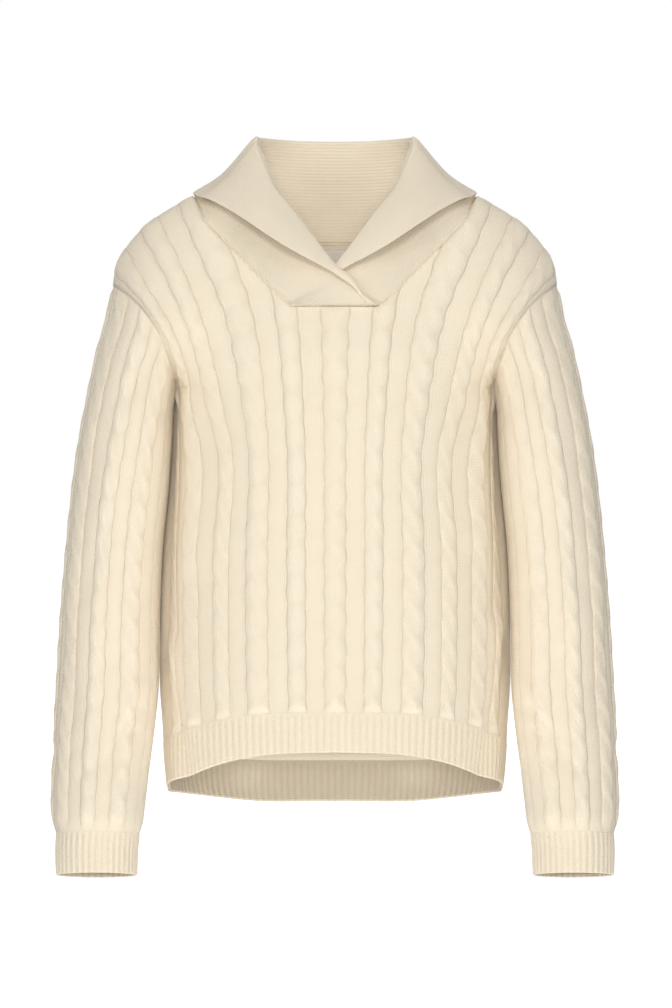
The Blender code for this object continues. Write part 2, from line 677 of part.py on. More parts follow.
def make_sleeve(hand, name):
    length = ring_keys(SLEEVE_RINGS)[-1]
    rows = twist_rows(length) + [(length - SEAM_GAP, -1)]
    s = np.array([row[0] for row in rows])
    leans = np.array([row[1] for row in rows], float)
    girth = 2 * math.pi * SLEEVE_RADIUS
    outer, inner = [], []
    columns = []
    for k in range(SLEEVE_CABLES):
        centre = SLEEVE_FIRST_CABLE + k * 360 / SLEEVE_CABLES
        for offset, height, swing in cable_columns(0.0, wide=k not in SLEEVE_NARROW):
            columns.append((centre + offset * 360 / girth, height, swing * 360 / girth))
    for angle, height, swing in columns:
        turn = np.radians(angle - hand * leans * swing)
        calm = 0.55 - 0.45 * np.cos(turn)      # flatter on the inside of the arm
        ends = np.where((s < SLEEVE_END) | (s > length - SLEEVE_END), SLEEVE_END_RELIEF, 1.0)
        points = ring_offset(SLEEVE_RINGS, hand, turn, s, height * calm * ends) + sleeve_shift(hand)
        outer.append((points, s, angle))
    first = columns[0][0]
    stations = np.linspace(0, length - SEAM_GAP, INNER_STATIONS)
    for angle in first + np.arange(INNER_SIDES) * 360 / INNER_SIDES:
        turn = np.full(len(stations), math.radians(angle))
        depth = np.full(len(stations), -SLEEVE_WALL)
        points = ring_offset(SLEEVE_RINGS, hand, turn, stations, depth) + sleeve_shift(hand)
        inner.append((points, stations, angle))
    return tube_wall(name, material("knit"), outer, inner)


def make_cuff(hand, name):
    length = ring_keys(CUFF_RINGS)[-1]
    outer, inner = [], []
    s = np.array((0.0, length * 0.35, length))
    for k in range(2 * CUFF_RIBS):
        turn = math.pi * k / CUFF_RIBS
        height = RIB_RISE if k % 2 else -RIB_RISE * GROOVE_SHARE
        heights = height * np.array((SLEEVE_END_RELIEF, 1.0, 1.0))
        outer.append((ring_offset(CUFF_RINGS, hand, np.full(3, turn), s, heights), s, turn))
    for k in range(INNER_SIDES):
        turn = 2 * math.pi * k / INNER_SIDES
        inner.append((ring_offset(CUFF_RINGS, hand, np.full(3, turn), s, np.full(3, -CUFF_WALL)), s, turn))
    return tube_wall(name, material("rib"), outer, inner)


# ---- collar -----------------------------------------------------------------
PANEL_ROWS = {side: panel_rows(side) for side in ("front", "back")}
PATHS, NECKLINES = {}, {}
for side in ("front", "back"):
    turns = [level for level, lean in PANEL_ROWS[side] if lean > 0]
    PATHS[side], NECKLINES[side] = neckline_path(side, [c[0] for c in panel_columns()], turns)


def seam_rims():
    """The neckline seam from the wearer's right base corner round the back to the left one.

    Each point holds the outer and inner edge of the panel, and the distance
    along the seam.
    """
    corner = np.interp(FRONT_NECK[1][0], *NECKLINES["front"])
    front = [(u, level) for u, level in PATHS["front"] if u >= corner - 0.5]
    back = PATHS["back"][-2::-1]
    half = [("front",) + p for p in front] + [("back",) + p for p in back]
    rims = np.array([[neck_point(side, u, level, 0.0), neck_point(side, u, level, PANEL_WALL)]
                     for side, u, level in half])
    mirrored = rims[-2::-1] * (-1, 1, 1)
    whole = np.concatenate((rims, mirrored))[::-1]
    distance = np.concatenate(([0], np.cumsum(np.linalg.norm(np.diff(whole[:, 0], axis=0), axis=1))))
    return whole, distance


def seam_distance(side, x, rims, distance):
    """Distance along the right half of the seam of a point given by its x."""
    level_u = np.interp(x, *NECKLINES[side])
    point = neck_point(side, level_u, top_level(side, level_u), 0.0)
    half = len(rims) // 2 + 1
    starts, ends = rims[half - 1:-1, 0], rims[half:, 0]
    spans = ends - starts
    f = np.clip(np.sum((point - starts) * spans, axis=1) / np.sum(spans ** 2, axis=1), 0, 1)
    gap = np.linalg.norm(starts + f[:, None] * spans - point, axis=1)
    k = int(np.argmin(gap))
    return distance[half - 1 + k] + f[k] * (distance[half + k] - distance[half - 1 + k])


def unit(vector):
    return vector / np.linalg.norm(vector)


def rim_at(distances):
    """Outer and inner edge of the collar's seam side, a seam gap off the panels."""
    def along(at, k):
        return np.stack([np.interp(at, SEAM_DISTANCE, SEAM_RIMS[:, k, c]) for c in range(3)], axis=-1)

    rims = np.stack([along(distances, 0), along(distances, 1)], axis=-2)
    step = 0.5
    tangent = along(distances + step, 0) - along(distances - step, 0)
    off = np.cross(tangent, rims[..., 1, :] - rims[..., 0, :])
    off /= np.linalg.norm(off, axis=-1)[..., None]
    return rims + (COLLAR_SEAM_GAP * off)[..., None, :]


def collar_station(row, hand):
    """Seven points across the collar: seam, stand, roll (three), fall and edge."""
    side, seam_x, roll_x, roll_y, roll_z, edge_x, edge_y, edge_z, puff, bow, sag = row
    distance = seam_distance(side, seam_x, SEAM_RIMS, SEAM_DISTANCE)
    seam = rim_at(np.array([distance]))[0].mean(axis=0)
    roll = np.array((roll_x, roll_y, roll_z), float)
    edge = np.array((edge_x, edge_y, edge_z), float)
    up = unit(roll - (seam + edge) / 2)
    away = unit(edge - seam - np.dot(edge - seam, up) * up)
    radius = min(COLLAR_ROLL_RADIUS, 0.45 * np.linalg.norm(edge - roll))
    stand_end = roll - up * radius - away * radius
    fall_start = roll - up * radius + away * radius
    stand = (seam + stand_end) / 2 + away * bow - (0, 0, sag)
    fall = (fall_start + edge) / 2 + away * puff - (0, 0, sag)
    points = np.array((seam, stand, stand_end, roll, fall_start, fall, edge))
    points[:, 0] *= hand
    return points, distance if hand > 0 else SEAM_DISTANCE[-1] - distance


def base_station(hand):
    """The collar's end, sewn across the whole base of the neck opening."""
    lift = -OVER_LIFT if hand < 0 else UNDER_DROP
    points = []
    for spread in BASE_SPREAD:
        u = float(np.interp(BASE_HALF_WIDTH * abs(spread), *NECKLINES["front"]))
        seam = neck_point("front", u, top_level("front", u), 0.0)
        points.append((hand * BASE_HALF_WIDTH * spread, seam[1] + lift, FRONT_NECK[0][1] + BASE_GAP))
    return np.array(points)


def collar_net():
    """Stations from the wearer's right end round the back to the left end."""
    right, left = [], []
    for index, row in enumerate(COLLAR_SECTIONS):
        under = np.clip((index - 9) / 3, 0, 1) * (UNDER_DROP + OVER_LIFT)
        weight = np.array((0.0, 1.2, 2.0, 2.0, 2.1, 2.2, 2.2))
        right.append(collar_station(row, -1))
        station, distance = collar_station(row, 1)
        station[:, 1] += under * weight
        left.append((station, distance))
    right.append((base_station(-1), 0.0))
    left.append((base_station(1), SEAM_DISTANCE[-1]))
    rows = right[::-1] + left[1:]
    return np.array([row[0] for row in rows]), np.array([row[1] for row in rows])


SEAM_RIMS, SEAM_DISTANCE = seam_rims()
COLLAR_NET, COLLAR_DISTANCE = collar_net()


def collar_surface(a, b):
    """Middle of the collar's wall: a along the strip by station, b across from 0 to 6."""
    a, b = np.broadcast_arrays(a, b)
    count = len(COLLAR_NET)
    stations = smooth(np.arange(count), COLLAR_NET.reshape(count, -1), a).reshape(a.shape + (7, 3))
    return smooth_rows(np.arange(7), stations, b)


def collar_offset(a, b, height):
    """Point of the collar moved out: + is the face that the fall shows."""
    point = collar_surface(a, b)
    small = 1e-3
    a = np.clip(a, 2 * small, len(COLLAR_NET) - 1 - 2 * small)
    b = np.clip(b, 2 * small, 6 - 2 * small)
    along = collar_surface(a + small, b) - collar_surface(a - small, b)
    across = collar_surface(a, b + small) - collar_surface(a, b - small)
    normal = np.cross(across, along)
    normal /= np.linalg.norm(normal, axis=-1)[..., None]
    return point + np.asarray(height)[..., None] * normal


def collar_stations():
    """Where the collar has a row of points: on each point of the seam, and between."""
    numbers = np.arange(len(COLLAR_NET))
    stations = list(np.interp(SEAM_DISTANCE, COLLAR_DISTANCE, numbers))
    for number in numbers:
        if min(abs(number - a) for a in stations) > 0.5:
            stations.append(float(number))
    return np.array(sorted(stations))


def rib_points(a, first, last, pitch):
    """Crests and grooves across one station, counted from the roll or the fall's edge, and its length."""
    b = np.linspace(first, last, 60)
    points = collar_surface(np.full(60, a), b)
    length = np.concatenate(([0], np.cumsum(np.linalg.norm(np.diff(points, axis=0), axis=1))))
    distance = np.arange(0, length[-1] - pitch * 0.35, pitch / 2)
    return distance, np.interp(distance, length, b), length[-1]


def make_collar():
    numbers = np.arange(len(COLLAR_NET))
    plain = np.array((0, 0.8, 1.6, 2.2, 2.7, 3, 3.3, 3.8, 4.5, 5.2, 6))
    wall = Wall()
    along = collar_stations()
    out, inn, out_b = [], [], []
    for a in along:
        stand, stand_b, stand_length = rib_points(a, 3, 0, RAISED_RIB_PITCH)
        fall, fall_b, _ = rib_points(a, 6, 3, RAISED_RIB_PITCH)
        b = np.concatenate(((0.0,), stand_b[::-1], fall_b[::-1]))
        keys = np.concatenate(((500 - stand_length,), 500 - stand[::-1], 1000 - fall[::-1]))
        crest = np.concatenate(((0,), np.arange(1, len(stand) + 1)[::-1] % 2, np.arange(len(fall))[::-1] % 2))
        height = COLLAR_WALL / 2 + np.where(crest == 1, COLLAR_RIB_RISE, -COLLAR_RIB_RISE * GROOVE_SHARE)
        outer_edge, inner_edge = rim_at(np.interp(a, numbers, COLLAR_DISTANCE))
        face = collar_offset(np.full(len(b), a), b, height)
        back = collar_offset(np.full(len(plain), a), plain, np.full(len(plain), -COLLAR_WALL / 2))
        if 0.3 < a < numbers[-1] - 0.3:
            face[0], back[0] = inner_edge, outer_edge
        out.append(wall.chain(face, keys))
        inn.append(wall.chain(back, plain))
        out_b.append(b)
    wall.skin(out)
    wall.skin(inn)
    for end in (0, -1):
        wall.rim([(c[end][0], a) for c, a in zip(out, along)], [(c[end][0], a) for c, a in zip(inn, along)])
        wall.rim([(c[0], b) for c, b in zip(out[end], out_b[end])], inn[end])
    return wall.build("shawl_collar", material("rib"))


# ---- label ------------------------------------------------------------------
def make_label():
    """Bare label on the inside of the back panel, below the neck seam."""
    outer, inner = [], []
    heights = LABEL_TOP - LABEL_HEIGHT * np.array((1.0, 0.5, 0.0))
    back = [row for row in MIDDLE_LINE if row[0] >= 0][::-1]
    levels = 2 - np.interp(heights, column(back, 2), column(back, 0))
    for x in np.linspace(-LABEL_WIDTH / 2, LABEL_WIDTH / 2, 7):
        share = column_share(x * LABEL_KNIT_WIDTH, levels)
        near = np.full(3, -PANEL_WALL - SEAM_GAP - LABEL_OFF_WALL)
        outer.append(plain_chain(torso_offset("back", share, levels, near), levels, x))
        inner.append(plain_chain(torso_offset("back", share, levels, near - LABEL_THICKNESS), levels, x))
    return sheet_wall("neck_label", material("label"), outer, inner)


# ---- the sweater ------------------------------------------------------------
def material(name):
    made = bpy.data.materials.get(name)
    if made:
        return made
    colour, roughness = MATERIALS[name]
    made = bpy.data.materials.new(name)
    made.use_nodes = True
    shader = made.node_tree.nodes["Principled BSDF"]
    shader.inputs["Base Color"].default_value = colour
    shader.inputs["Roughness"].default_value = roughness
    shader.inputs["Metallic"].default_value = 0.0
    return made


for old in list(bpy.data.objects):
    bpy.data.objects.remove(old)
PARTS = bpy.data.collections.new("cable_knit_sweater")
bpy.context.scene.collection.children.link(PARTS)

for panel in ("front", "back"):
    make_panel(panel)
    make_hem(panel)
for hand, wearer_side in ((-1, "right"), (1, "left")):
    make_sleeve(hand, "sleeve_" + wearer_side)
    make_cuff(hand, "cuff_" + wearer_side)
make_collar()
make_label()
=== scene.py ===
"""Looks of the cable-knit pullover: every knitted piece at full detail on its solid's form.

Sizes in the tables are millimetres, as in the solids; the meshes are made in metres.
The front faces -Y and the wearer's left is +X.
"""
import math

import bmesh
import bpy
import numpy as np
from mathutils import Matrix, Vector


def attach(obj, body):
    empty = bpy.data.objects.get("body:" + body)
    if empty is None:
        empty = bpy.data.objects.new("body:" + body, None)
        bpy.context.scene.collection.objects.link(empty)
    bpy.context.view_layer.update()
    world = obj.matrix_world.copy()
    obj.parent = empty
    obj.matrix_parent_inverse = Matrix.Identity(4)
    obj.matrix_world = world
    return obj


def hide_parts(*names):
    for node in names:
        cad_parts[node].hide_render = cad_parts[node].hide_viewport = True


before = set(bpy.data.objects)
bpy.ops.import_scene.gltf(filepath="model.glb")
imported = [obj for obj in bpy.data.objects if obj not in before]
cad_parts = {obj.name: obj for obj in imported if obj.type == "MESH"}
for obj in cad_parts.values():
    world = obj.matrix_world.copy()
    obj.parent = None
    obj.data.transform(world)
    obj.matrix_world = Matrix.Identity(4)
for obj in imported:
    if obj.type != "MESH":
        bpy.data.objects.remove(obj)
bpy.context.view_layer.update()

MM = 0.001
TURN = 2 * math.pi
SMALL = 1e-3  # step along a surface's parameters, for its slopes

# ---- the body's form: the solids' own tables ----
PANEL_WALL = 3.0
SIDE_COLUMN = 224.0  # knitted half width, from the middle to the side seam
UNDERARM = (158.0, 0.0, -183.0)
SHOULDER_TIP = (221.8, 0.0, -82.0)
ARMHOLE_HALF_DEPTH = 84.0
ARMHOLE_SCOOP = 14.0  # how far the armhole's front and back bow in and up
SEAM_FACING = 58.0  # degrees a panel has turned to the side at the armhole

# z, half width, front y, side y, back y
BODY_SECTIONS = (
    (-183, 158.0, -118, 0, 112),
    (-210, 161.5, -119, 13, 112),
    (-240, 163.8, -119, 21, 112),
    (-285, 167.5, -118, 26, 112),
    (-335, 172.3, -117, 28, 113),
    (-385, 175.2, -116, 28, 114),
    (-435, 176.3, -115, 26, 117),
    (-480, 175.8, -114, 24, 119),
    (-515, 173.5, -113, 21, 119),
    (-560, 170.5, -111, 17, 118),
    (-585, 167.5, -110, 14, 117),
    (-610, 161.0, -109, 12, 116),
)
BODY_ROUNDNESS = 2.4  # superellipse power at the underarm, 2 at the shoulder

# Middle line of the upper body, front underarm level (-1) to back (1): key, y, z
MIDDLE_LINE = (
    (-1.00, -118, -183),
    (-0.82, -115, -143),
    (-0.64, -103, -103),
    (-0.46, -85, -62),
    (-0.30, -62, -20),
    (-0.16, -37, 13),
    (-0.06, -12, 33),
    (0.00, 5, 35.5),
    (0.06, 22, 34),
    (0.16, 50, 15),
    (0.34, 86, -30),
    (0.50, 99, -70),
    (0.64, 106, -104),
    (0.82, 111, -143),
    (1.00, 112, -183),
)
UPPER_RISE = 220.0  # length of the upper body's columns at the middle
ARC_HALF_WIDTH, ARC_DEPTH = 170, 120  # the body's middle size, from which arcs are shared out

# Distance from the middle along the knit, bottom edge, top of the rib
HEMS = {
    "front": ((0, -542, -503), (70, -546, -505), (103, -553, -510), (134, -563, -518),
              (160, -570, -525), (185, -575, -531), (206, -580, -535), (224, -587, -539)),
    "back": ((0, -603, -561), (85, -602, -560), (120, -598, -557), (160, -593, -552),
             (190, -590, -549), (210, -588.5, -547.5), (224, -587, -546)),
}
# Neckline seen from the front: distance from the middle, height
NECKS = {
    "front": ((0, -105), (43, -105), (63, -88), (79.5, -70), (95.5, -54), (110, -39), (126, -22),
              (137, -7), (142, 8.3)),
    "back": ((0, -35), (45, -34), (80, -28), (115, -14), (142, 8.3)),
}

# Fan of the knit: share of the half width at which each column lies, by level
FAN_KNOTS = (0, 38, 76, 114, 152, 166, 201, SIDE_COLUMN)
FAN = (
    (-1.0, 0.148, 0.310, 0.463, 0.608, 0.664, 0.800),
    (0.00, 0.150, 0.312, 0.465, 0.610, 0.666, 0.800),
    (0.50, 0.158, 0.323, 0.477, 0.630, 0.690, 0.830),
    (0.82, 0.168, 0.335, 0.492, 0.655, 0.725, 0.870),
    (1.00, 0.189, 0.374, 0.584, 0.765, 0.840, 0.940),
    (1.10, 0.198, 0.395, 0.621, 0.817, 0.895, 0.965),
    (1.20, 0.215, 0.430, 0.673, 0.868, 0.930, 0.975),
    (1.35, 0.246, 0.485, 0.733, 0.913, 0.960, 0.985),
    (1.50, 0.259, 0.519, 0.748, 0.932, 0.972, 0.985),
    (1.65, 0.248, 0.523, 0.727, 0.930, 0.972, 0.985),
    (1.80, 0.217, 0.484, 0.681, 0.895, 0.962, 0.985),
    (1.90, 0.199, 0.453, 0.650, 0.866, 0.955, 0.985),
    (2.00, 0.192, 0.4423, 0.638, 0.850, 0.950, 0.985),
)

# Soft folds, ridge (+) or trough (-): from column and z, to column and z, half width, height
PANEL_FOLDS = {
    "front": (
        (196, -215, 168, -400, 15, -4.5),
        (150, -200, 138, -330, 18, 3.5),
        (-198, -210, -170, -420, 15, -5.0),
        (-152, -195, -136, -350, 18, 3.5),
        (186, -440, 150, -560, 15, -4.0),
        (-184, -450, -150, -565, 15, -4.0),
    ),
    "back": (
        (190, -215, 160, -420, 16, -5.0),
        (-192, -210, -158, -440, 16, -5.0),
        (60, -90, 20, -230, 22, -4.0),
        (-64, -95, -26, -250, 22, -4.0),
        (120, -420, 80, -560, 20, -4.0),
        (-118, -400, -84, -560, 20, -4.0),
    ),
}
FOLD_TOP, FOLD_TOP_FADE, FOLD_SIDE_FADE = 1.6, 0.6, 0.06  # folds end at a level, and at the side
LAST_SHARE, LAST_LEVELS = 0.9985, (-0.999, 1.999)  # slopes are read this far out at most
FACING = (0.35, 1.0, 0.0)  # a panel's way out, as shares of a point's place
FACING_UP = -150.0  # height from which it faces up, too

# ---- sleeves and cuffs ----
SLEEVE_WALL = 3.0
# inner x and z, outer x and z, centre y, half depth, tilt, scoop
SLEEVE_RINGS = (
    (158.0, -183, 221.8, -82, 0, 84, 0, 14),
    (159.8, -194, 227.2, -112, -3, 83.5, 0, 12),
    (161.3, -206, 235.0, -140, -6, 82, 0, 9),
    (162.6, -240, 246.0, -192, -13, 78, 0, 5),
    (166.0, -285, 256.0, -248, -17, 73, 0, 2),
    (171.2, -335, 263.5, -312, -19, 67.5, 1, 0),
    (174.2, -385, 269.0, -372, -21, 62.5, 2, 0),
    (175.4, -435, 273.0, -428, -23, 58, 3, 0),
    (175.6, -480, 275.5, -476, -25, 53, 4, 0),
    (179.2, -520, 278.0, -518, -28, 50, 6, 0),
    (185.0, -565, 279.5, -564, -33, 46, 8, 0),
    (189.0, -600, 280.0, -600, -38, 43, 9, 0),
    (191.0, -616, 279.0, -616, -40, 41, 10, 0),
    (194.0, -626, 277.0, -626, -41, 38, 10, 0),
)
CUFF_WALL = 2.8
CUFF_RINGS = (
    (194.3, -626.6, 276.8, -626.6, -41, 37.5, 10, 0),
    (195.5, -640.0, 277.0, -640.0, -42.5, 35.5, 10, 0),
    (196.0, -655.0, 276.6, -655.0, -44, 34, 10, 0),
    (196.5, -667.0, 276.0, -667.0, -45, 33, 10, 0),
)
SLEEVE_RADIUS = 52.0  # turns an angle round the sleeve into a distance
CUFF_RADIUS = 38.0  # the same round a cuff
SLEEVE_END_GAP = 0.3  # between a sleeve and its cuff
SLEEVE_END_SLOPE = 0.35  # the relief sinks over a longer distance towards the cuff
INSIDE_RELIEF = 0.25  # share of the relief left on the side next to the body
INSIDE_TURN = (-0.95, -0.6)  # that side's edges, as minus the cosine of the angle
FOLD_RISE = 12.0  # distance from a sleeve's end over which its folds grow
INNER_FOLD = 0.7  # share of a fold that shows on the sleeve's inside
# Folds: angle (0 inside, 90 in front) and distance down, twice; half width, height
SLEEVE_FOLDS = (
    (64, 8, 100, 70, 9, -2.5),
    (40, 60, 66, 150, 8, -2.2),
    (118, 20, 136, 120, 12, 2.0),
    (96, 190, 120, 260, 12, -1.6),
    (58, 250, 80, 330, 11, -1.8),
    (44, 372, 74, 402, 6, -2.2),
    (50, 396, 86, 424, 6, -2.4),
    (66, 424, 108, 440, 6, -2.0),
    (46, 350, 64, 372, 7, 1.6),
    (150, 300, 130, 380, 12, -1.6),
    (230, 60, 262, 160, 12, -2.2),
    (270, 240, 246, 330, 12, -2.0),
    (286, 380, 250, 426, 8, -2.2),
    (200, 400, 160, 430, 8, -1.6),
)

# ---- collar ----
COLLAR_WALL = 2.8
COLLAR_ROLL_RADIUS, ROLL_SHARE = 4.2, 0.45  # and its greatest share of the fall's width
COLLAR_SEAM_GAP = 0.2
# neckline, its x; roll x, y, z; edge x, y, z; how far the fall and the stand bow out, and sag
COLLAR_SECTIONS = (
    ("back", 0, 0, 80, 66, 0, 112, -36, 5, -2, 0),
    ("back", 50, 36, 76, 66.5, 52, 107, -33, 5, -2, 0),
    ("back", 95, 62, 58, 67, 98, 86, -19, 4, -1, 3),
    ("back", 127, 75, 36, 66.5, 131, 52, 1.5, 2, 2, 6),
    ("front", 141.9, 77.5, 10, 65, 141.5, 0, 10.8, 0, 4, 7),
    ("front", 136.5, 78, 1, 60, 135, -28, 6.5, 1, 5, 7),
    ("front", 127, 76.5, -9, 53.5, 126, -44, 3.5, 2, 5, 6),
    ("front", 107, 70.5, -24, 38, 107, -61, -7, 3, 3, 3),
    ("front", 92, 60, -40, 14, 88, -74, -19.5, 3, 1, 0),
    ("front", 78, 41.5, -57, -9.5, 70, -84, -32, 3, -1, 0),
    ("front", 66, 24.5, -76, -33, 52, -93, -44, 2, -1, 0),
    ("front", 56, 11, -89, -51.5, 33, -100, -55, 1, 0, 0),
    ("front", 48, -2, -98, -67, 9, -103.5, -68, 0, 0, 0),
    ("front", 44.5, -18, -101, -80, -12, -103.5, -82, 0, 0, 0),
)
BASE_GAP = 0.2
BASE_HALF_WIDTH = 42.5
BASE_SPREAD = (1.0, 0.5, -0.5, -0.72, -0.80, -0.86, -1.0)  # seam, stand, roll, fall, edge
OVER_LIFT = 1.6  # the wearer's right end lies over the left one
UNDER_DROP = 3.4
CROSSING_ROW, CROSSING_ROWS = 9, 3  # section at which the ends start to cross; sections this takes
UNDER_SHARES = (0.0, 1.2, 2.0, 2.0, 2.1, 2.2, 2.2)  # of the drop, at each point across
ROLL_POINT, EDGE_POINT = 3, 6  # of the seven points across
RIM_POINTS = 80  # of half a neckline
RIM_REACH = 2.0  # to each side along the seam, for its direction
COLLAR_ROWS, COLLAR_COLUMNS = 180, 222
COLLAR_EDGE_COLUMNS = (5.975, 5.99)  # two more, where the free edge is rounded
SEAM_PULL = 5.0  # distance over which the collar is drawn to the neckline's rim
PULL_START = 0.3  # stations from an end to the first that is drawn
NEAR_BASE = (1.0, 4.0)  # stations from an end over which the base's influence fades
STAND_END, BASE_STAND_END = (1.9, 2.7), (0.8, 1.8)  # where the stand's ribs end, in points across
FALL_RIBBED = 3.4  # where the fall's have grown

# ---- label ----
LABEL_WIDTH, LABEL_HEIGHT, LABEL_THICKNESS, LABEL_TOP = 50.0, 22.0, 1.0, -38.0
LABEL_ROWS, LABEL_COLUMNS = 56, 121
LABEL_OFF_WALL = 1.5  # clear of the panel's plain inside
LABEL_KNIT_WIDTH = 0.8  # knitted columns per millimetre of the label's width
LABEL_FOLD, LABEL_FOLD_END = 0.35, (2.2, 3.2)  # height and reach of its turned-under edge
LABEL_EDGE = 0.5
STITCH_INSET, STITCH_WIDTH, STITCH_RISE, STITCH_TURN = 1.6, 0.35, 0.30, 2.6

# ---- knitting ----
CABLE_PITCH = 38.0
PANEL_CABLES = 5  # on each side of the middle one
WIDE_CABLE, NARROW_CABLE = 22.0, 18.0
WIDE_RISE, NARROW_RISE = 2.8, 2.4
CABLE_PINCH = 0.05  # how much a cable narrows where its strands cross
# CABLE_HOLLOW weighs the painted shade of a hollow between strands against that of a purl groove
CABLE_HOLLOW = 0.45  # shade of a hollow between strands, against a purl groove
STRAND_RADIUS, STRAND_SWING = 0.60, 0.46  # and its travel to each side, in half widths of the cable
STRAND_SNAP, STRAND_CROWN = 1.6, 0.7  # how sudden the travel is; power of the strand's roundness
STRAND_LIFT = 0.30  # how far one strand lies over the other
STRAND_SHARE = 0.58  # of the rise that is the strands' own roundness
HOLLOW_LEVEL = 0.85  # of a strand's height, below which the spot counts as hollow
PURL_DEPTH, PURL_WIDTH = 0.9, 0.75
SECOND_PURL, SECOND_PURL_STEP = 0.4, 2.4  # of the fainter groove outside each one beside a cable
TWIST = 30.0  # one crossing of the cable
SLEEVE_CABLES = 9
SLEEVE_FIRST_CABLE = 62.0
SLEEVE_NARROW = (1, 3, 5, 7, 8)
GROOVE_STEPS = (-3.3, -2.4, -1.5, -0.8, -0.3, 0.3, 0.8, 1.5, 2.4, 3.3)
CABLE_STEP, PLAIN_STEP, LEAST_STEP = 1.9, 3.0, 0.25
EDGE_STEPS = (0.0, 0.3, 0.8, 1.5, 2.5)
PANEL_ROW_STEP, SLEEVE_ROW_STEP, HEM_ROW_STEP, CUFF_ROW_STEP = 2.05, 2.2, 3.0, 2.5
LAST_STEP = 0.6  # least share of a step between a column's last two rows
PANEL_INNER_ROWS, PANEL_INNER_COLUMNS = 60, 65
SLEEVE_INNER_ROWS, SLEEVE_INNER_COLUMNS = 50, 48
NECK_COLUMN = 2 * CABLE_PITCH  # column that ends at the neck point
UNDERARM_COLUMNS, UNDERARM_LEVELS = (160, 166), (0.98, 1.15)  # where the knit turns plain
SHOULDER_LEVELS = (1.72, 1.98)  # over which it calms towards the shoulder
SEAM_ROUND = 1.6  # width over which a seam's edge is rounded
SEAM_DROP = 0.12
SEAM_TUCK = 0.45  # how far a sleeve is moved up into the seam's gap
RELIEF_RISE = 7.0  # distance from a seam over which the relief grows
SHOULDER_CALM = 0.55  # share of the relief lost on top of the shoulder
HEM_WALL = 2.8
HEM_RIB_PITCH = 6.6
HEM_RIB_SIDES, CUFF_RIB_SIDES = 6, 8  # columns of the mesh on each rib
CUFF_RIBS = 38
CUFF_TUCK, CUFF_TUCK_FADE = 2.0, 5.0  # how far a cuff's top is sewn up into the sleeve
CUFF_LEAN_FADE = 20.0  # distance over which a cuff follows its sleeve sideways
RIB_RISE, RIB_START = 1.1, (-1, 4)  # ribs grow over these distances from the seam
EDGE_ROUND = 1.8  # distance over which a free edge is rounded
COLLAR_RIB_PITCH = 3.3
STAND_RIB, FALL_RIB = 0.3, 0.1  # depth of the ribs in the cloth itself; the knit deepens them
FALL_KNIT_RIB = 0.4  # how much of that the fall gets

CREAM = (0.895, 0.795, 0.630, 1.0)
# Painted shade: the knit's colour goes towards this in grooves, hollows and between a stitch's legs
CREAM_PAINTED_SHADE = (0.740, 0.605, 0.430, 1.0)
RIBBON = (0.78, 0.72, 0.65, 1.0)
RIBBON_SHADE = (0.62, 0.57, 0.51, 1.0)


# ---- curves and tables ----
def column(table, index):
    return [row[index] for row in table]


def step_up(x, low, high):
    """0 below low, 1 above high, smooth between."""
    f = np.clip((x - low) / (high - low), 0, 1)
    return f * f * (3 - 2 * f)


def between(f, span, start, end, leave, arrive):
    """Smooth curve from start to end with the slopes at both, f from 0 to 1 over the span."""
    rise = step_up(f, 0, 1)
    return (1 - rise) * start + rise * end + span * (leave * f * (1 - f) ** 2 - arrive * f * f * (1 - f))


def smooth(keys, values, x):
    """Smooth curve through the rows of a table, read at x (keys rise)."""
    keys = np.asarray(keys, float)
    values = np.asarray(values, float)
    slopes = np.gradient(values, keys, axis=0)
    x = np.clip(np.asarray(x, float), keys[0], keys[-1])
    i = np.clip(np.searchsorted(keys, x) - 1, 0, len(keys) - 2)
    span = keys[i + 1] - keys[i]
    f = (x - keys[i]) / span
    if values.ndim == 2:
        f, span = f[..., None], span[..., None]
    return between(f, span, values[i], values[i + 1], slopes[i], slopes[i + 1])


def read_table(table, x):
    """A table's other columns where the first one is x, smooth between its rows."""
    rows = sorted(table)
    return np.moveaxis(smooth(column(rows, 0), [row[1:] for row in rows], x), -1, 0)


def smooth_rows(keys, rows, x):
    """The same through each entry's own rows: rows (..., key, value), x (...)."""
    keys = np.asarray(keys, float)
    slopes = np.gradient(rows, keys, axis=-2)
    first = np.clip(np.searchsorted(keys, x) - 1, 0, len(keys) - 2)
    span = (keys[first + 1] - keys[first])[..., None]
    f = (np.clip(x, keys[0], keys[-1]) - keys[first])[..., None] / span
    start, end, leave, arrive = [
        np.take_along_axis(table, (first + step)[..., None, None], axis=-2)[..., 0, :]
        for table in (rows, slopes) for step in (0, 1)]
    return between(f, span, start, end, leave, arrive)


def distance_along(points):
    """Distance of each point from its line's first one: points (..., n, 3)."""
    steps = np.linalg.norm(np.diff(points, axis=-2), axis=-1)
    return np.concatenate((0 * steps[..., :1], np.cumsum(steps, axis=-1)), axis=-1)


def superellipse_angles(roundness, width, depth, steps=600):
    """Share of the arc from the middle to the side, against the angle."""
    angle = np.linspace(0, math.pi / 2, steps)
    x = width * np.sin(angle) ** (2 / roundness)
    y = depth * np.cos(angle) ** (2 / roundness)
    arc = np.concatenate(([0], np.cumsum(np.hypot(np.diff(x), np.diff(y)))))
    return arc / arc[-1], angle


ARC_SHARE, ARC_ANGLE = superellipse_angles(BODY_ROUNDNESS, ARC_HALF_WIDTH, ARC_DEPTH)


def fold_sum(folds, x, y):
    """Sum of soft folds, each from one point to another: x0, y0, x1, y1, half width, height."""
    total = np.zeros(np.broadcast(x, y).shape)
    for x0, y0, x1, y1, half_width, height in folds:
        along = ((x - x0) * (x1 - x0) + (y - y0) * (y1 - y0)) / ((x1 - x0) ** 2 + (y1 - y0) ** 2)
        nearest = np.clip(along, 0, 1)
        gap = np.hypot(x - x0 - nearest * (x1 - x0), y - y0 - nearest * (y1 - y0))
        total = total + height * np.exp(-(gap / half_width) ** 2)
    return total


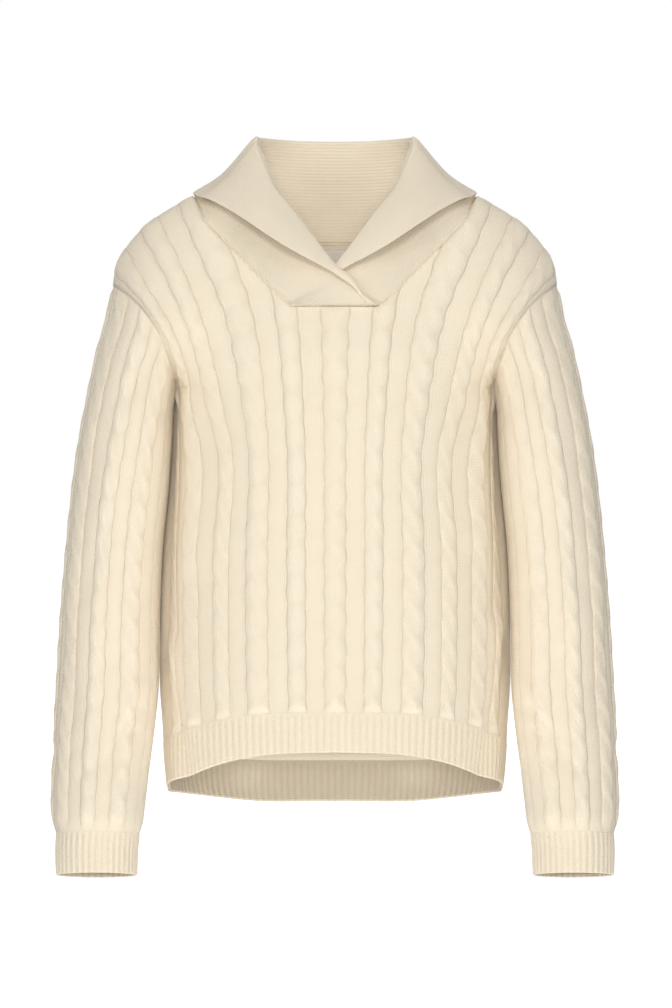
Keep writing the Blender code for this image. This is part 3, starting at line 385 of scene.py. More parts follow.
# ---- the body's surface ----
def sleeve_direction(hand):
    """Out and down, square to the armhole's plane."""
    return np.array((0.8 * hand, 0.0, -0.6))


def scooped(hand, depth):
    """Step in and up, square to the armhole's plane."""
    return -np.asarray(depth)[..., None] * sleeve_direction(hand)


def armhole(side, w):
    """Point of the armhole seam, w from 0 at the underarm to 1 at the tip."""
    rise = (1 - np.cos(np.pi * w)) / 2
    forward = -1 if side == "front" else 1
    start, end = np.array(UNDERARM), np.array(SHOULDER_TIP)
    point = start + rise[..., None] * (end - start)
    point[..., 1] += forward * ARMHOLE_HALF_DEPTH * np.sin(np.pi * w)
    return point + scooped(1, ARMHOLE_SCOOP * np.sin(np.pi * w) ** 2)


def torso(side, t, level):
    """Point of a panel's surface: t from -1 (wearer's right side seam) to 1 (left).

    Level is -1 at the hem's edge, 0 on top of the rib, 1 at the underarm, 2 on the shoulder.
    """
    t, level = np.broadcast_arrays(np.asarray(t, float), np.asarray(level, float))
    share = np.abs(t)
    w = np.clip(level - 1, 0, 1)
    bottom, top = read_table(HEMS[side], share * SIDE_COLUMN)
    above_rib = top + (UNDERARM[2] - top) * np.minimum(level, 1)
    z = np.where(level < 0, top + (top - bottom) * level, above_rib)
    half, front_y, side_y, back_y = read_table(BODY_SECTIONS, z)
    middle_y = front_y if side == "front" else back_y

    angle = (1 - w) * np.interp(share, ARC_SHARE, ARC_ANGLE) + w * share * np.pi / 2
    power = 2 / (BODY_ROUNDNESS + (2 - BODY_ROUNDNESS) * w)
    turn = np.pi / 2 - math.radians(90 - SEAM_FACING) * np.sin(np.pi * w) ** 2
    angle = angle * turn / (np.pi / 2)
    left_over = np.abs(np.cos(turn)) ** power
    across = (np.sin(angle) / np.sin(turn)) ** power
    inward = (np.abs(np.cos(angle)) ** power - left_over) / (1 - left_over)

    facing = -1 if side == "front" else 1
    high_y, high_z = read_table(MIDDLE_LINE, facing * (1 - w))
    seam = armhole(side, w)
    upper = level > 1
    x = np.where(upper, seam[..., 0], half) * across
    upper_y = seam[..., 1] + (high_y - seam[..., 1]) * inward
    y = np.where(upper, upper_y, side_y + (middle_y - side_y) * inward)
    z = np.where(upper, seam[..., 2] + (high_z - seam[..., 2]) * inward, z)

    fade = np.clip((FOLD_TOP - level) / FOLD_TOP_FADE, 0, 1) * np.clip((1 - share) / FOLD_SIDE_FADE, 0, 1)
    fold = fold_sum(PANEL_FOLDS[side], t * SIDE_COLUMN, z) * fade
    return np.stack((np.sign(t) * (x + across * fold), y + facing * inward * fold, z), axis=-1)


def unit(vectors):
    return vectors / np.linalg.norm(vectors, axis=-1)[..., None]


def cross_slopes(surface, a, b):
    """Unit normals of a surface of two parameters, on the side that turns from a to b."""
    along = surface(a + SMALL, b) - surface(a - SMALL, b)
    up = surface(a, b + SMALL) - surface(a, b - SMALL)
    return unit(np.cross(along, up))


def surface_normal(surface, a, b, outward):
    """The same, turned to the given side."""
    normal = cross_slopes(surface, a, b)
    normal[np.sum(normal * outward, axis=-1) < 0] *= -1
    return normal


def torso_offset(side, t, level, height):
    """Point of a panel, moved out of its surface by a height."""
    t = np.clip(t, -LAST_SHARE, LAST_SHARE)
    point = torso(side, t, level)
    outward = point * FACING
    outward[..., 2] = np.clip(point[..., 2] - FACING_UP, 0, None)
    level = np.clip(level, *LAST_LEVELS)
    normal = surface_normal(lambda a, b: torso(side, a, b), t, level, outward)
    return point + np.asarray(height)[..., None] * normal


def column_share(u, level):
    """Where knit column u lies on its row, as a share of the half width."""
    u, level = np.broadcast_arrays(np.asarray(u, float), np.asarray(level, float))
    shares = np.moveaxis(read_table(FAN, level), 0, -1)
    zero, one = np.zeros(level.shape + (1,)), np.ones(level.shape + (1,))
    rows = np.concatenate((zero, shares, one), axis=-1)[..., None]
    return np.sign(u) * smooth_rows(FAN_KNOTS, rows, np.abs(u))[..., 0]


def top_levels(side, u):
    """Level at which each knit column ends: on the neckline, or at 2 on the shoulder."""
    low, high = np.ones(len(u)), np.full(len(u), 2.0)
    for _ in range(24):  # halvings
        middle = (low + high) / 2
        point = torso(side, column_share(u, middle), middle)
        above = point[:, 2] > np.interp(np.abs(point[:, 0]), *zip(*NECKS[side]))
        high = np.where(above, middle, high)
        low = np.where(above, low, middle)
    return np.where(np.abs(u) >= NECK_COLUMN - 1e-6, 2.0, low)


# ---- knitted relief ----
def soft_max(a, b, rounding=0.03):
    """The larger of two heights, rounded where they meet."""
    return (a + b + np.sqrt((a - b) ** 2 + rounding)) / 2


def rope(x, turns, half, rise):
    """A cable of two strands, which cross from the upper left over to the lower right.

    x is the distance to the right of its middle, turns the crossings counted upwards.
    Returns its height, the middle of the strand on top and how hollow the spot is.
    """
    t = x / half
    phase = np.pi * turns
    swing = STRAND_SWING * np.tanh(STRAND_SNAP * np.cos(phase)) / np.tanh(STRAND_SNAP)
    strands = []
    for sign in (1, -1):
        gap = (t - sign * swing) / STRAND_RADIUS
        strands.append(np.clip(1 - gap ** 2, 0, 1) ** STRAND_CROWN + STRAND_LIFT * sign * np.sin(phase))
    middle = swing * np.tanh(strands[0] - strands[1])
    best = soft_max(*strands)
    body = np.sqrt(np.clip(1 - t ** 2, 0, 1))
    height = rise * body * (1 - STRAND_SHARE + STRAND_SHARE * best)
    hollow = np.clip(HOLLOW_LEVEL - best, 0, 1) * (np.abs(t) < 1)
    return height, middle * half, hollow


def cable(centre, wide):
    """Middle, half width and rise of one cable."""
    width, rise = (WIDE_CABLE, WIDE_RISE) if wide else (NARROW_CABLE, NARROW_RISE)
    return centre, width / 2, rise


def cable_list():
    """A panel's cables, wide and narrow in turn."""
    return [cable(k * CABLE_PITCH, k % 2 == 0) for k in range(-PANEL_CABLES, PANEL_CABLES + 1)]


def sleeve_cable_list():
    """The same round a sleeve, in millimetres from the inner line at its middle radius."""
    degree = math.radians(1) * SLEEVE_RADIUS
    centres = [(SLEEVE_FIRST_CABLE + k * 360 / SLEEVE_CABLES) % 360 for k in range(SLEEVE_CABLES)]
    return sorted(cable(centre * degree, k not in SLEEVE_NARROW) for k, centre in enumerate(centres))


def knit_columns(cables, low, high):
    """Columns from low to high, close together in the grooves beside each cable."""
    columns = [low, high]
    for centre, half, _ in cables:
        for edge in (centre - half, centre + half):
            columns += [edge + step for step in GROOVE_STEPS]
        inner = half + GROOVE_STEPS[0]
        columns += list(centre + np.linspace(-inner, inner, round(2 * inner / CABLE_STEP) + 1))
    columns = sorted(c for c in columns if low <= c <= high)
    filled = [columns[0]]
    for c in columns[1:]:
        gap = c - filled[-1]
        if gap < LEAST_STEP:
            continue
        pieces = math.ceil(gap / PLAIN_STEP)
        filled += [filled[-1] + gap * (k + 1) / pieces for k in range(pieces)]
    filled[-1] = high
    return np.array(filled)


def cable_relief(cables, u, turns, hand):
    """Height, sideways pinch, stitch line and hollowness of a cable-knitted piece.

    hand is 1 where the columns' numbers rise to the right as seen from outside.
    """
    height = np.zeros(u.shape)
    pinch = np.zeros(u.shape)
    line = u.copy()
    hollow = np.zeros(u.shape)
    for centre, half, rise in cables:
        x = u - centre
        near = np.abs(x) < CABLE_PITCH / 2
        rope_height, middle, deep = rope(hand * x, turns, half, rise)
        inside = np.abs(x) < half
        height = np.where(inside, rope_height, height)
        line = np.where(inside, x - hand * middle, line)
        # Hollow spots, between strands and in purl grooves, get painted shade in the knit material
        hollow = np.where(inside, CABLE_HOLLOW * deep, hollow)
        beside = np.abs(x) - half
        second = np.exp(-((beside - SECOND_PURL_STEP) / PURL_WIDTH) ** 2)
        purl = np.exp(-(beside / PURL_WIDTH) ** 2) + SECOND_PURL * second
        height = np.where(near, height - PURL_DEPTH * purl, height)
        hollow = np.where(near, np.maximum(hollow, purl), hollow)
        spread = np.clip(1 - np.clip(beside, 0, None) / (CABLE_PITCH / 2 - half), 0, 1)
        squeeze = CABLE_PINCH * np.clip(x, -half, half) * np.cos(2 * np.pi * turns) * spread
        pinch = np.where(near, squeeze, pinch)
    return height, pinch, line, hollow


def seam_drop(distance):
    """How far an edge is rounded down, against the distance to the seam."""
    return SEAM_DROP * (1 - step_up(distance, 0, SEAM_ROUND)) ** 2


def edge_rounding(distance, width=EDGE_ROUND):
    """Quarter circle: 0 at a free edge, 1 from the given distance on."""
    return np.sqrt(1 - (1 - np.clip(distance / width, 0, 1)) ** 2)


# ---- meshes ----
def zip_chains(a, b):
    """Triangles between two chains of (index, parameter), matched by parameter."""
    faces, i, j = [], 0, 0
    while i < len(a) - 1 or j < len(b) - 1:
        if j == len(b) - 1 or (i < len(a) - 1 and a[i + 1][1] <= b[j + 1][1] + 1e-9):
            faces.append((a[i][0], a[i + 1][0], b[j][0]))
            i += 1
        else:
            faces.append((a[i][0], b[j + 1][0], b[j][0]))
            j += 1
    return faces


def grid_faces(numbers, closed):
    """Quads of a grid of point numbers, joined round if closed; triangles where two corners are one."""
    if closed:
        numbers = np.concatenate((numbers, numbers[:, :1]), axis=1)
    corners = (numbers[:-1, :-1], numbers[:-1, 1:], numbers[1:, 1:], numbers[1:, :-1])
    faces = [list(dict.fromkeys(quad)) for quad in np.stack(corners, axis=-1).reshape(-1, 4).tolist()]
    return [face for face in faces if len(face) > 2]


def borders(numbers, rows, columns, closed):
    """A grid's borders as chains of (index, parameter): bottom, top and, unless closed, the sides."""
    lines = ((numbers[0], columns), (numbers[-1], columns), (numbers[:, 0], rows), (numbers[:, -1], rows))
    chains = [list(zip(line.tolist(), places.tolist())) for line, places in lines]
    return [chain + [(chain[0][0], 1.0)] for chain in chains[:2]] if closed else chains


def knitted_piece(name, skins, material, closed=False, tops=(None, None)):
    """A closed piece from its outer and inner skin: (points, knit, rows, columns) each.

    Points and knit are grids in rows; knit holds the stitches' place across and along the
    columns and how hollow the spot is. Rows and columns place each row and column for the
    rims. Tops holds the row on which each column ends, if not all end on the last.
    """
    points, knit, faces, rims = [], [], [], []
    count = 0
    for (grid, stitches, rows, columns), top in zip(skins, tops):
        last = np.full(len(columns), len(rows) - 1) if top is None else top
        used_row = np.minimum(np.arange(len(rows))[:, None], last)
        numbers = count + used_row * len(columns) + np.arange(len(columns))
        points.append(grid.reshape(-1, 3))
        knit.append(stitches.reshape(-1, 3))
        faces += grid_faces(numbers, closed)
        rims.append(borders(numbers, rows, columns, closed))
        count += numbers.size
    for outer, inner in zip(*rims):
        faces += zip_chains(outer, inner)
    mesh = bpy.data.meshes.new(name)
    mesh.from_pydata(np.concatenate(points) * MM, [], faces)
    attribute = mesh.attributes.new("knit", "FLOAT_VECTOR", "POINT")
    attribute.data.foreach_set("vector", np.concatenate(knit).astype(np.float32).ravel())
    form = bmesh.new()
    form.from_mesh(mesh)
    bmesh.ops.delete(form, geom=[point for point in form.verts if not point.link_faces], context="VERTS")
    bmesh.ops.recalc_face_normals(form, faces=form.faces)
    if form.calc_volume(signed=True) < 0:
        bmesh.ops.reverse_faces(form, faces=form.faces)
    form.to_mesh(mesh)
    form.free()
    mesh.shade_smooth()
    mesh.materials.append(material)
    piece = bpy.data.objects.new(name, mesh)
    bpy.context.scene.collection.objects.link(piece)
    return piece


def stitched(across, along, hollow):
    """The knit attribute of a grid."""
    return np.stack(np.broadcast_arrays(across, along, hollow), axis=-1)


def share_of(values):
    """Places along a border, from 0 to 1."""
    return (values - values[0]) / (values[-1] - values[0])


def edge_rows(length, step):
    """Distances from 0 to length, closer together at both ends."""
    ends = np.array(EDGE_STEPS)
    middle = np.linspace(ends[-1], length - ends[-1], max(2, round((length - 2 * ends[-1]) / step) + 1))
    return np.concatenate((ends[:-1], middle, length - ends[-2::-1]))


def ribbed_skins(wave, from_seam, length, wall, across, columns, place):
    """Both faces of a ribbed band, a row for each distance from its seam.

    Wave is the ribs' own across the columns; place gives the points for an offset outwards.
    """
    calm = step_up(from_seam, *RIB_START)[:, None]
    rounding = edge_rounding(length - from_seam)[:, None]
    skins = []
    for face in (1, -1):
        raised = wave[None, :] * face
        offset = face * (wall / 2 + RIB_RISE * 0.5 * raised * calm) * rounding - wall / 2
        # A rib's furrow counts as hollow: the knit material paints shade there
        knit = stitched(across, -from_seam[:, None], (0.5 - 0.5 * raised) ** 2 * calm)
        skins.append((place(offset), knit, share_of(from_seam), columns))
    return skins


# ---- panels ----
def panel_grid(side, u, rows):
    """Distance up, level and last row of each knit column: it stops on the neckline."""
    lower = UNDERARM[2] - HEMS[side][0][2]
    lengths = lower + (top_levels(side, u) - 1) * UPPER_RISE
    step = np.gradient(rows)[:, None]
    s = np.where(rows[:, None] < lengths - LAST_STEP * step, rows[:, None], lengths)
    level = np.where(s < lower, s / lower, 1 + (s - lower) / UPPER_RISE)
    return s, level, lengths, np.argmax(s >= lengths, axis=0)


def make_panel(side, material):
    hand = 1 if side == "front" else -1
    cables = cable_list()
    length = UNDERARM[2] - HEMS[side][0][2] + UPPER_RISE
    u = knit_columns(cables, -SIDE_COLUMN, SIDE_COLUMN)
    rows = edge_rows(length, PANEL_ROW_STEP)
    s, level, lengths, top = panel_grid(side, u, rows)
    columns = np.broadcast_to(u, s.shape)
    height, pinch, line, hollow = cable_relief(cables, columns, s / TWIST, hand)
    share = column_share(columns + pinch, level)
    edge = np.minimum(np.minimum(s, lengths - s), (1 - np.abs(share)) * SIDE_COLUMN)
    under_arm = step_up(np.abs(columns), *UNDERARM_COLUMNS) * step_up(level, *UNDERARM_LEVELS)
    calm = (1 - under_arm) * (1 - SHOULDER_CALM * step_up(level, *SHOULDER_LEVELS))
    height = height * calm * step_up(edge, 0, RELIEF_RISE) - seam_drop(edge)
    outer = torso_offset(side, share, level, height)

    plain = np.linspace(-SIDE_COLUMN, SIDE_COLUMN, PANEL_INNER_COLUMNS)
    plain_rows = np.linspace(0, length, PANEL_INNER_ROWS)
    plain_s, plain_level, _, plain_top = panel_grid(side, plain, plain_rows)
    depth = np.full(plain_s.shape, -PANEL_WALL)
    inner = torso_offset(side, column_share(plain, plain_level), plain_level, depth)
    return knitted_piece(side + "_panel_knit", (
        (outer, stitched(line, s, hollow), share_of(rows), share_of(u)),
        (inner, stitched(plain, plain_s, 0.0), share_of(plain_rows), share_of(plain)),
    ), material, tops=(top, plain_top))


def make_hem(side, material):
    """Ribbed hem, its ribs raised on both faces."""
    ribs = round(2 * SIDE_COLUMN / HEM_RIB_PITCH)
    depth = HEMS[side][0][2] - HEMS[side][0][1]
    t = np.linspace(-1, 1, ribs * HEM_RIB_SIDES + 1)
    down = edge_rows(depth, HEM_ROW_STEP)[::-1]
    wave = np.cos(np.pi * ribs * (t + 1))
    share, level = np.broadcast_arrays(t, -down[:, None] / depth)
    skins = ribbed_skins(wave, down, depth, HEM_WALL, t * SIDE_COLUMN, share_of(t),
                         lambda offset: torso_offset(side, share, level, offset))
    return knitted_piece("hem_rib_" + side + "_knit", skins, material)


# ---- sleeves and cuffs ----
def ring_keys(rings):
    """Distance along the middle line of each ring."""
    middle = [((r[0] + r[2]) / 2, r[4], (r[1] + r[3]) / 2) for r in rings]
    return distance_along(np.array(middle, float))


def ring_point(rings, hand, angle, s):
    """Point of a sleeve or cuff: angle 0 inside, 90 degrees in front, s along it."""
    ix, iz, ox, oz, cy, depth, tilt, scoop = np.moveaxis(smooth(ring_keys(rings), rings, s), -1, 0)
    cx, cz = (ix + ox) / 2, (iz + oz) / 2
    x = cx + (ix - cx) * np.cos(angle)
    y = cy - depth * np.sin(angle)
    z = cz + (iz - cz) * np.cos(angle) + tilt / 2 * np.sin(angle)
    return np.stack((hand * x, y, z), axis=-1) + scooped(hand, scoop * np.sin(angle) ** 2)


def ring_offset(rings, hand, angle, s, height):
    point = ring_point(rings, hand, angle, s)
    centre = (point + ring_point(rings, hand, angle + np.pi, s)) / 2
    inside = np.clip(s, 2 * SMALL, ring_keys(rings)[-1] - 2 * SMALL)
    normal = surface_normal(lambda a, b: ring_point(rings, hand, a, b), angle, inside, point - centre)
    return point + np.asarray(height)[..., None] * normal


def make_sleeve(hand, name, material):
    length = ring_keys(SLEEVE_RINGS)[-1] - SLEEVE_END_GAP
    girth = TURN * SLEEVE_RADIUS
    cables = sleeve_cable_list()
    around = knit_columns(cables, 0.0, girth)[:-1]
    s = edge_rows(length, SLEEVE_ROW_STEP)[:, None]
    columns = np.broadcast_to(around, (len(s), len(around)))
    height, pinch, line, hollow = cable_relief(cables, columns, -s / TWIST + 0 * columns, hand)
    angle = (columns + pinch) / SLEEVE_RADIUS
    edge = np.minimum(s, SLEEVE_END_SLOPE * (length - s))
    calm = INSIDE_RELIEF + (1 - INSIDE_RELIEF) * step_up(-np.cos(angle), *INSIDE_TURN)
    folds = [(math.radians(start) * SLEEVE_RADIUS, top,
              math.radians(end) * SLEEVE_RADIUS, low, width, rise)
             for start, top, end, low, width, rise in SLEEVE_FOLDS]
    creased = fold_sum(folds, columns, s) * step_up(edge, 0, FOLD_RISE)
    height = height * calm * step_up(edge, 0, RELIEF_RISE) - seam_drop(edge) + creased
    shift = sleeve_direction(hand) * -SEAM_TUCK
    outer = ring_offset(SLEEVE_RINGS, hand, angle, s + 0 * columns, height) + shift

    plain = np.linspace(0, girth, SLEEVE_INNER_COLUMNS, endpoint=False)
    stations = np.linspace(0, length, SLEEVE_INNER_ROWS)[:, None]
    turn, station = np.broadcast_arrays(plain / SLEEVE_RADIUS, stations)
    creased = fold_sum(folds, turn * SLEEVE_RADIUS, stations)
    inner = ring_offset(SLEEVE_RINGS, hand, turn, station, creased * INNER_FOLD - SLEEVE_WALL) + shift
    return knitted_piece(name + "_knit", (
        (outer, stitched(line, -s, hollow), share_of(s[:, 0]), around / girth),
        (inner, stitched(plain, -stations, 0.0), share_of(stations[:, 0]), plain / girth),
    ), material, closed=True)


def make_cuff(hand, name, material):
    length = ring_keys(CUFF_RINGS)[-1]
    angle = np.linspace(0, TURN, CUFF_RIBS * CUFF_RIB_SIDES, endpoint=False)
    s = edge_rows(length, CUFF_ROW_STEP)
    lift = CUFF_TUCK * (1 - step_up(s, 0, CUFF_TUCK_FADE))[:, None]
    sideways = -sleeve_direction(hand)[0] * SEAM_TUCK * (1 - step_up(s, 0, CUFF_LEAN_FADE))[:, None]
    tuck = np.stack((sideways, 0 * lift, lift), axis=-1)
    turn, station = np.broadcast_arrays(angle, s[:, None])
    wave = np.cos(CUFF_RIBS * angle)
    skins = ribbed_skins(wave, s, length, CUFF_WALL, angle * CUFF_RADIUS, angle / TURN,
                         lambda offset: ring_offset(CUFF_RINGS, hand, turn, station, offset) + tuck)
    return knitted_piece(name + "_knit", skins, material, closed=True)


# ---- collar ----
def neck_rim(side, u, wall):
    """Rim of the neckline at knit columns u: outer edge for a wall of 0."""
    levels = np.minimum(top_levels(side, u), LAST_LEVELS[1])
    return torso_offset(side, column_share(u, levels), levels, np.full(len(u), -wall))


def seam_rims():
    """The neckline's outer and inner edge from the wearer's right base corner round to the left."""
    fine = np.linspace(0, NECK_COLUMN, RIM_POINTS)
    halves = []
    for side in ("front", "back"):
        rims = np.stack((neck_rim(side, fine, 0.0), neck_rim(side, fine, PANEL_WALL)), axis=1)
        halves.append(rims[rims[:, 0, 0] >= NECKS["front"][1][0]] if side == "front" else rims[-2::-1])
    half = np.concatenate(halves)
    whole = np.concatenate((half, half[-2::-1] * (-1, 1, 1)))[::-1]
    return whole, distance_along(whole[:, 0])


SEAM_RIMS, SEAM_DISTANCE = seam_rims()


def rim_at(distances):
    """Outer and inner edge of the collar's seam side, a seam gap off the panels."""
    def read(where, k):
        return np.stack([np.interp(where, SEAM_DISTANCE, SEAM_RIMS[:, k, c]) for c in range(3)], axis=-1)
    rims = np.stack((read(distances, 0), read(distances, 1)), axis=-2)
    tangent = read(distances + RIM_REACH, 0) - read(distances - RIM_REACH, 0)
    off = unit(np.cross(tangent, rims[..., 1, :] - rims[..., 0, :]))
    return rims + (COLLAR_SEAM_GAP * off)[..., None, :]


def seam_distance(side, x):
    """Distance along the seam of the point on its left half with the given x."""
    half = len(SEAM_RIMS) // 2
    points, distance = SEAM_RIMS[half:, 0], SEAM_DISTANCE[half:]
    front = distance >= distance[np.argmax(points[:, 0])]
    chosen = front if side == "front" else ~front
    order = np.argsort(points[chosen, 0])
    return float(np.interp(x, points[chosen, 0][order], distance[chosen][order]))


def collar_station(row, hand):
    """Seven points across the collar: seam, stand, roll (three), fall and edge."""
    side, seam_x, *places, puff, bow, sag = row
    roll, edge = np.array(places, float).reshape(2, 3)
    distance = seam_distance(side, seam_x)
    seam = rim_at(np.array([distance]))[0].mean(axis=0)
    up = unit(roll - (seam + edge) / 2)
    away = unit(edge - seam - np.dot(edge - seam, up) * up)
    radius = min(COLLAR_ROLL_RADIUS, ROLL_SHARE * np.linalg.norm(edge - roll))
    stand_end = roll - up * radius - away * radius
    fall_start = roll - up * radius + away * radius
    stand = (seam + stand_end) / 2 + away * bow - (0, 0, sag)
    fall = (fall_start + edge) / 2 + away * puff - (0, 0, sag)
    points = np.array((seam, stand, stand_end, roll, fall_start, fall, edge))
    points[:, 0] *= hand
    return points, distance if hand > 0 else SEAM_DISTANCE[-1] - distance


def base_station(hand):
    """The collar's end, sewn across the whole base of the neck opening."""
    lift = -OVER_LIFT if hand < 0 else UNDER_DROP
    rim = neck_rim("front", np.linspace(0, NECK_COLUMN, RIM_POINTS), 0.0)
    points = []
    for spread in BASE_SPREAD:
        depth = np.interp(BASE_HALF_WIDTH * abs(spread), rim[:, 0], rim[:, 1])
        points.append((hand * BASE_HALF_WIDTH * spread, depth + lift, NECKS["front"][0][1] + BASE_GAP))
    return np.array(points)


def collar_net():
    """Stations from the wearer's right end round the back to the left end."""
    right, left = [], []
    for index, row in enumerate(COLLAR_SECTIONS):
        under = np.clip((index - CROSSING_ROW) / CROSSING_ROWS, 0, 1) * (UNDER_DROP + OVER_LIFT)
        right.append(collar_station(row, -1))
        station, distance = collar_station(row, 1)
        station[:, 1] += under * np.array(UNDER_SHARES)
        left.append((station, distance))
    right.append((base_station(-1), 0.0))
    left.append((base_station(1), SEAM_DISTANCE[-1]))
    rows = right[::-1] + left[1:]
    return np.array([row[0] for row in rows]), np.array([row[1] for row in rows])


COLLAR_NET, COLLAR_DISTANCE = collar_net()


def collar_surface(a, b):
    """Middle of the collar's wall: a along the strip by station, b across from 0 to 6."""
    a, b = np.broadcast_arrays(a, b)
    count = len(COLLAR_NET)
    stations = smooth(np.arange(count), COLLAR_NET.reshape(count, -1), a)
    return smooth_rows(np.arange(EDGE_POINT + 1), stations.reshape(a.shape + COLLAR_NET.shape[1:]), b)


def collar_normals(a, b):
    """Unit normals of the collar; they point to the face that the fall shows."""
    a = np.clip(a, 2 * SMALL, len(COLLAR_NET) - 1 - 2 * SMALL)
    b = np.clip(b, 2 * SMALL, EDGE_POINT - 2 * SMALL)
    return -cross_slopes(collar_surface, a, b)


def make_collar(material):
    """One strip along the net: a counts its stations, b the seven points across."""
    last = len(COLLAR_NET) - 1
    columns = np.sort(np.concatenate((np.linspace(0, EDGE_POINT, COLLAR_COLUMNS), COLLAR_EDGE_COLUMNS)))
    past_roll = np.searchsorted(columns, ROLL_POINT)
    a, b = np.broadcast_arrays(np.linspace(0, last, COLLAR_ROWS)[:, None], columns)
    middle = collar_surface(a, b)
    normal = collar_normals(a, b)
    across = distance_along(middle)
    from_edge = across[:, -1:] - across
    from_roll = across - across[:, past_roll, None]
    along = distance_along(middle[:, past_roll - 1])[:, None]
    from_end = np.minimum(a, last - a)
    near_base = 1 - step_up(from_end, *NEAR_BASE)
    stand = (1 - step_up(b, *STAND_END)) * (1 - near_base * step_up(b, *BASE_STAND_END))
    fall = step_up(b, ROLL_POINT, FALL_RIBBED)
    # Rib strength: the collar's material paints shade in the ribs' furrows and sinks them with a bump
    knit = stitched(from_roll, along, stand + FALL_KNIT_RIB * fall)
    ribs = (STAND_RIB * stand * np.cos(TURN * from_roll / COLLAR_RIB_PITCH)
            + FALL_RIB * fall * np.cos(TURN * from_edge / COLLAR_RIB_PITCH))
    pull = (from_end > PULL_START) * (1 - step_up(across, 0, SEAM_PULL))
    rims = rim_at(np.interp(a[:, 0], np.arange(last + 1), COLLAR_DISTANCE))
    skins = []
    for face in (1, -1):
        offset = face * (COLLAR_WALL / 2 - face * ribs) * edge_rounding(from_edge)
        points = middle + offset[..., None] * normal
        rim = rims[:, 1 if face > 0 else 0][:, None, :]
        points = points + pull[..., None] * (rim - points[:, :1])
        skins.append((points, knit, share_of(a[:, 0]), share_of(columns)))
    return knitted_piece("shawl_collar_knit", skins, material)


# ---- label ----
def make_label(material):
    """Bare woven tape inside the back panel, its edges turned under and stitched down."""
    x = np.linspace(-LABEL_WIDTH / 2, LABEL_WIDTH / 2, LABEL_COLUMNS)
    heights = LABEL_TOP - LABEL_HEIGHT * np.linspace(1, 0, LABEL_ROWS)
    back = [row for row in MIDDLE_LINE if row[0] >= 0][::-1]
    levels = (2 - np.interp(heights, column(back, 2), column(back, 0)))[:, None]
    grid_levels = np.broadcast_to(levels, (len(levels), len(x)))
    inset = np.minimum(LABEL_WIDTH / 2 - np.abs(x)[None, :],
                       np.minimum(heights - heights[0], heights[-1] - heights)[:, None])
    fold = LABEL_FOLD * (1 - step_up(inset, *LABEL_FOLD_END))
    seam = STITCH_RISE * np.exp(-((inset - STITCH_INSET) / STITCH_WIDTH) ** 2)
    stitches = seam * (0.5 + 0.5 * np.cos((x[None, :] + heights[:, None]) * STITCH_TURN))
    round_edge = LABEL_EDGE * (1 - edge_rounding(inset, LABEL_EDGE))
    share = column_share(x * LABEL_KNIT_WIDTH, levels)
    near = -PANEL_WALL - LABEL_OFF_WALL
    faces = []
    for depth in (near - round_edge, near - LABEL_THICKNESS - fold + stitches + round_edge):
        points = torso_offset("back", share, grid_levels, depth)
        faces.append((points, stitched(x, heights[:, None], 0.0 * inset), share_of(heights), share_of(x)))
    return knitted_piece("neck_label_ribbon", faces, material)


# ---- materials ----
MIX_LIGHT, MIX_DARK, MIX_COLOUR = 6, 7, 2  # a Mix node's colour sockets: two in, one out
MIX_UNSEEN, MIX_SEEN = 2, 3  # its sockets for numbers
SHEEN_TINT = (1.0, 0.95, 0.86, 1.0)
SHEEN_ROUGHNESS, SPECULAR = 0.45, 0.22


def feed(tree, node, inputs):
    """Sets inputs of a node to values, or links them to sockets."""
    for key, value in inputs.items():
        if isinstance(value, bpy.types.NodeSocket):
            tree.links.new(value, node.inputs[key])
        else:
            node.inputs[key].default_value = value
    return node


def add_node(tree, kind, inputs, **settings):
    """A new node with its settings and inputs."""
    node = tree.nodes.new(kind)
    for key, value in settings.items():
        setattr(node, key, value)
    return feed(tree, node, inputs)


def new_material(name, inputs):
    """A material, its nodes and its shader, whose inputs are set."""
    made = bpy.data.materials.new(name)
    made.use_nodes = True
    tree = made.node_tree
    return made, tree, feed(tree, tree.nodes["Principled BSDF"], inputs)


def fabric(name, roughness, sheen):
    """A new material, where its stitches lie (across, along, hollow), and what adds to it."""
    made, tree, shader = new_material(name, {
        "Roughness": roughness, "Sheen Weight": sheen, "Sheen Roughness": SHEEN_ROUGHNESS,
        "Sheen Tint": SHEEN_TINT, "Specular IOR Level": SPECULAR})

    def add(kind, inputs, **settings):
        return add_node(tree, kind, inputs, **settings)

    def calc(operation, *inputs, clamp=False):
        """Result of a Math node."""
        node = add("ShaderNodeMath", dict(enumerate(inputs)), operation=operation, use_clamp=clamp)
        return node.outputs[0]

    def relief(height, strength, depth):
        """Bump of a depth in millimetres."""
        bump = add("ShaderNodeBump", {"Height": height, "Strength": strength, "Distance": depth * MM})
        feed(tree, shader, {"Normal": bump.outputs["Normal"]})

    def tint(shade, light, dark):
        """Colour from light to dark."""
        inputs = {"Factor": shade, MIX_LIGHT: light, MIX_DARK: dark}
        colour = add("ShaderNodeMix", inputs, data_type="RGBA")
        feed(tree, shader, {"Base Color": colour.outputs[MIX_COLOUR]})

    knit = add("ShaderNodeAttribute", {}, attribute_name="knit")
    place = add("ShaderNodeSeparateXYZ", {"Vector": knit.outputs["Vector"]}).outputs
    return made, place, add, calc, relief, tint


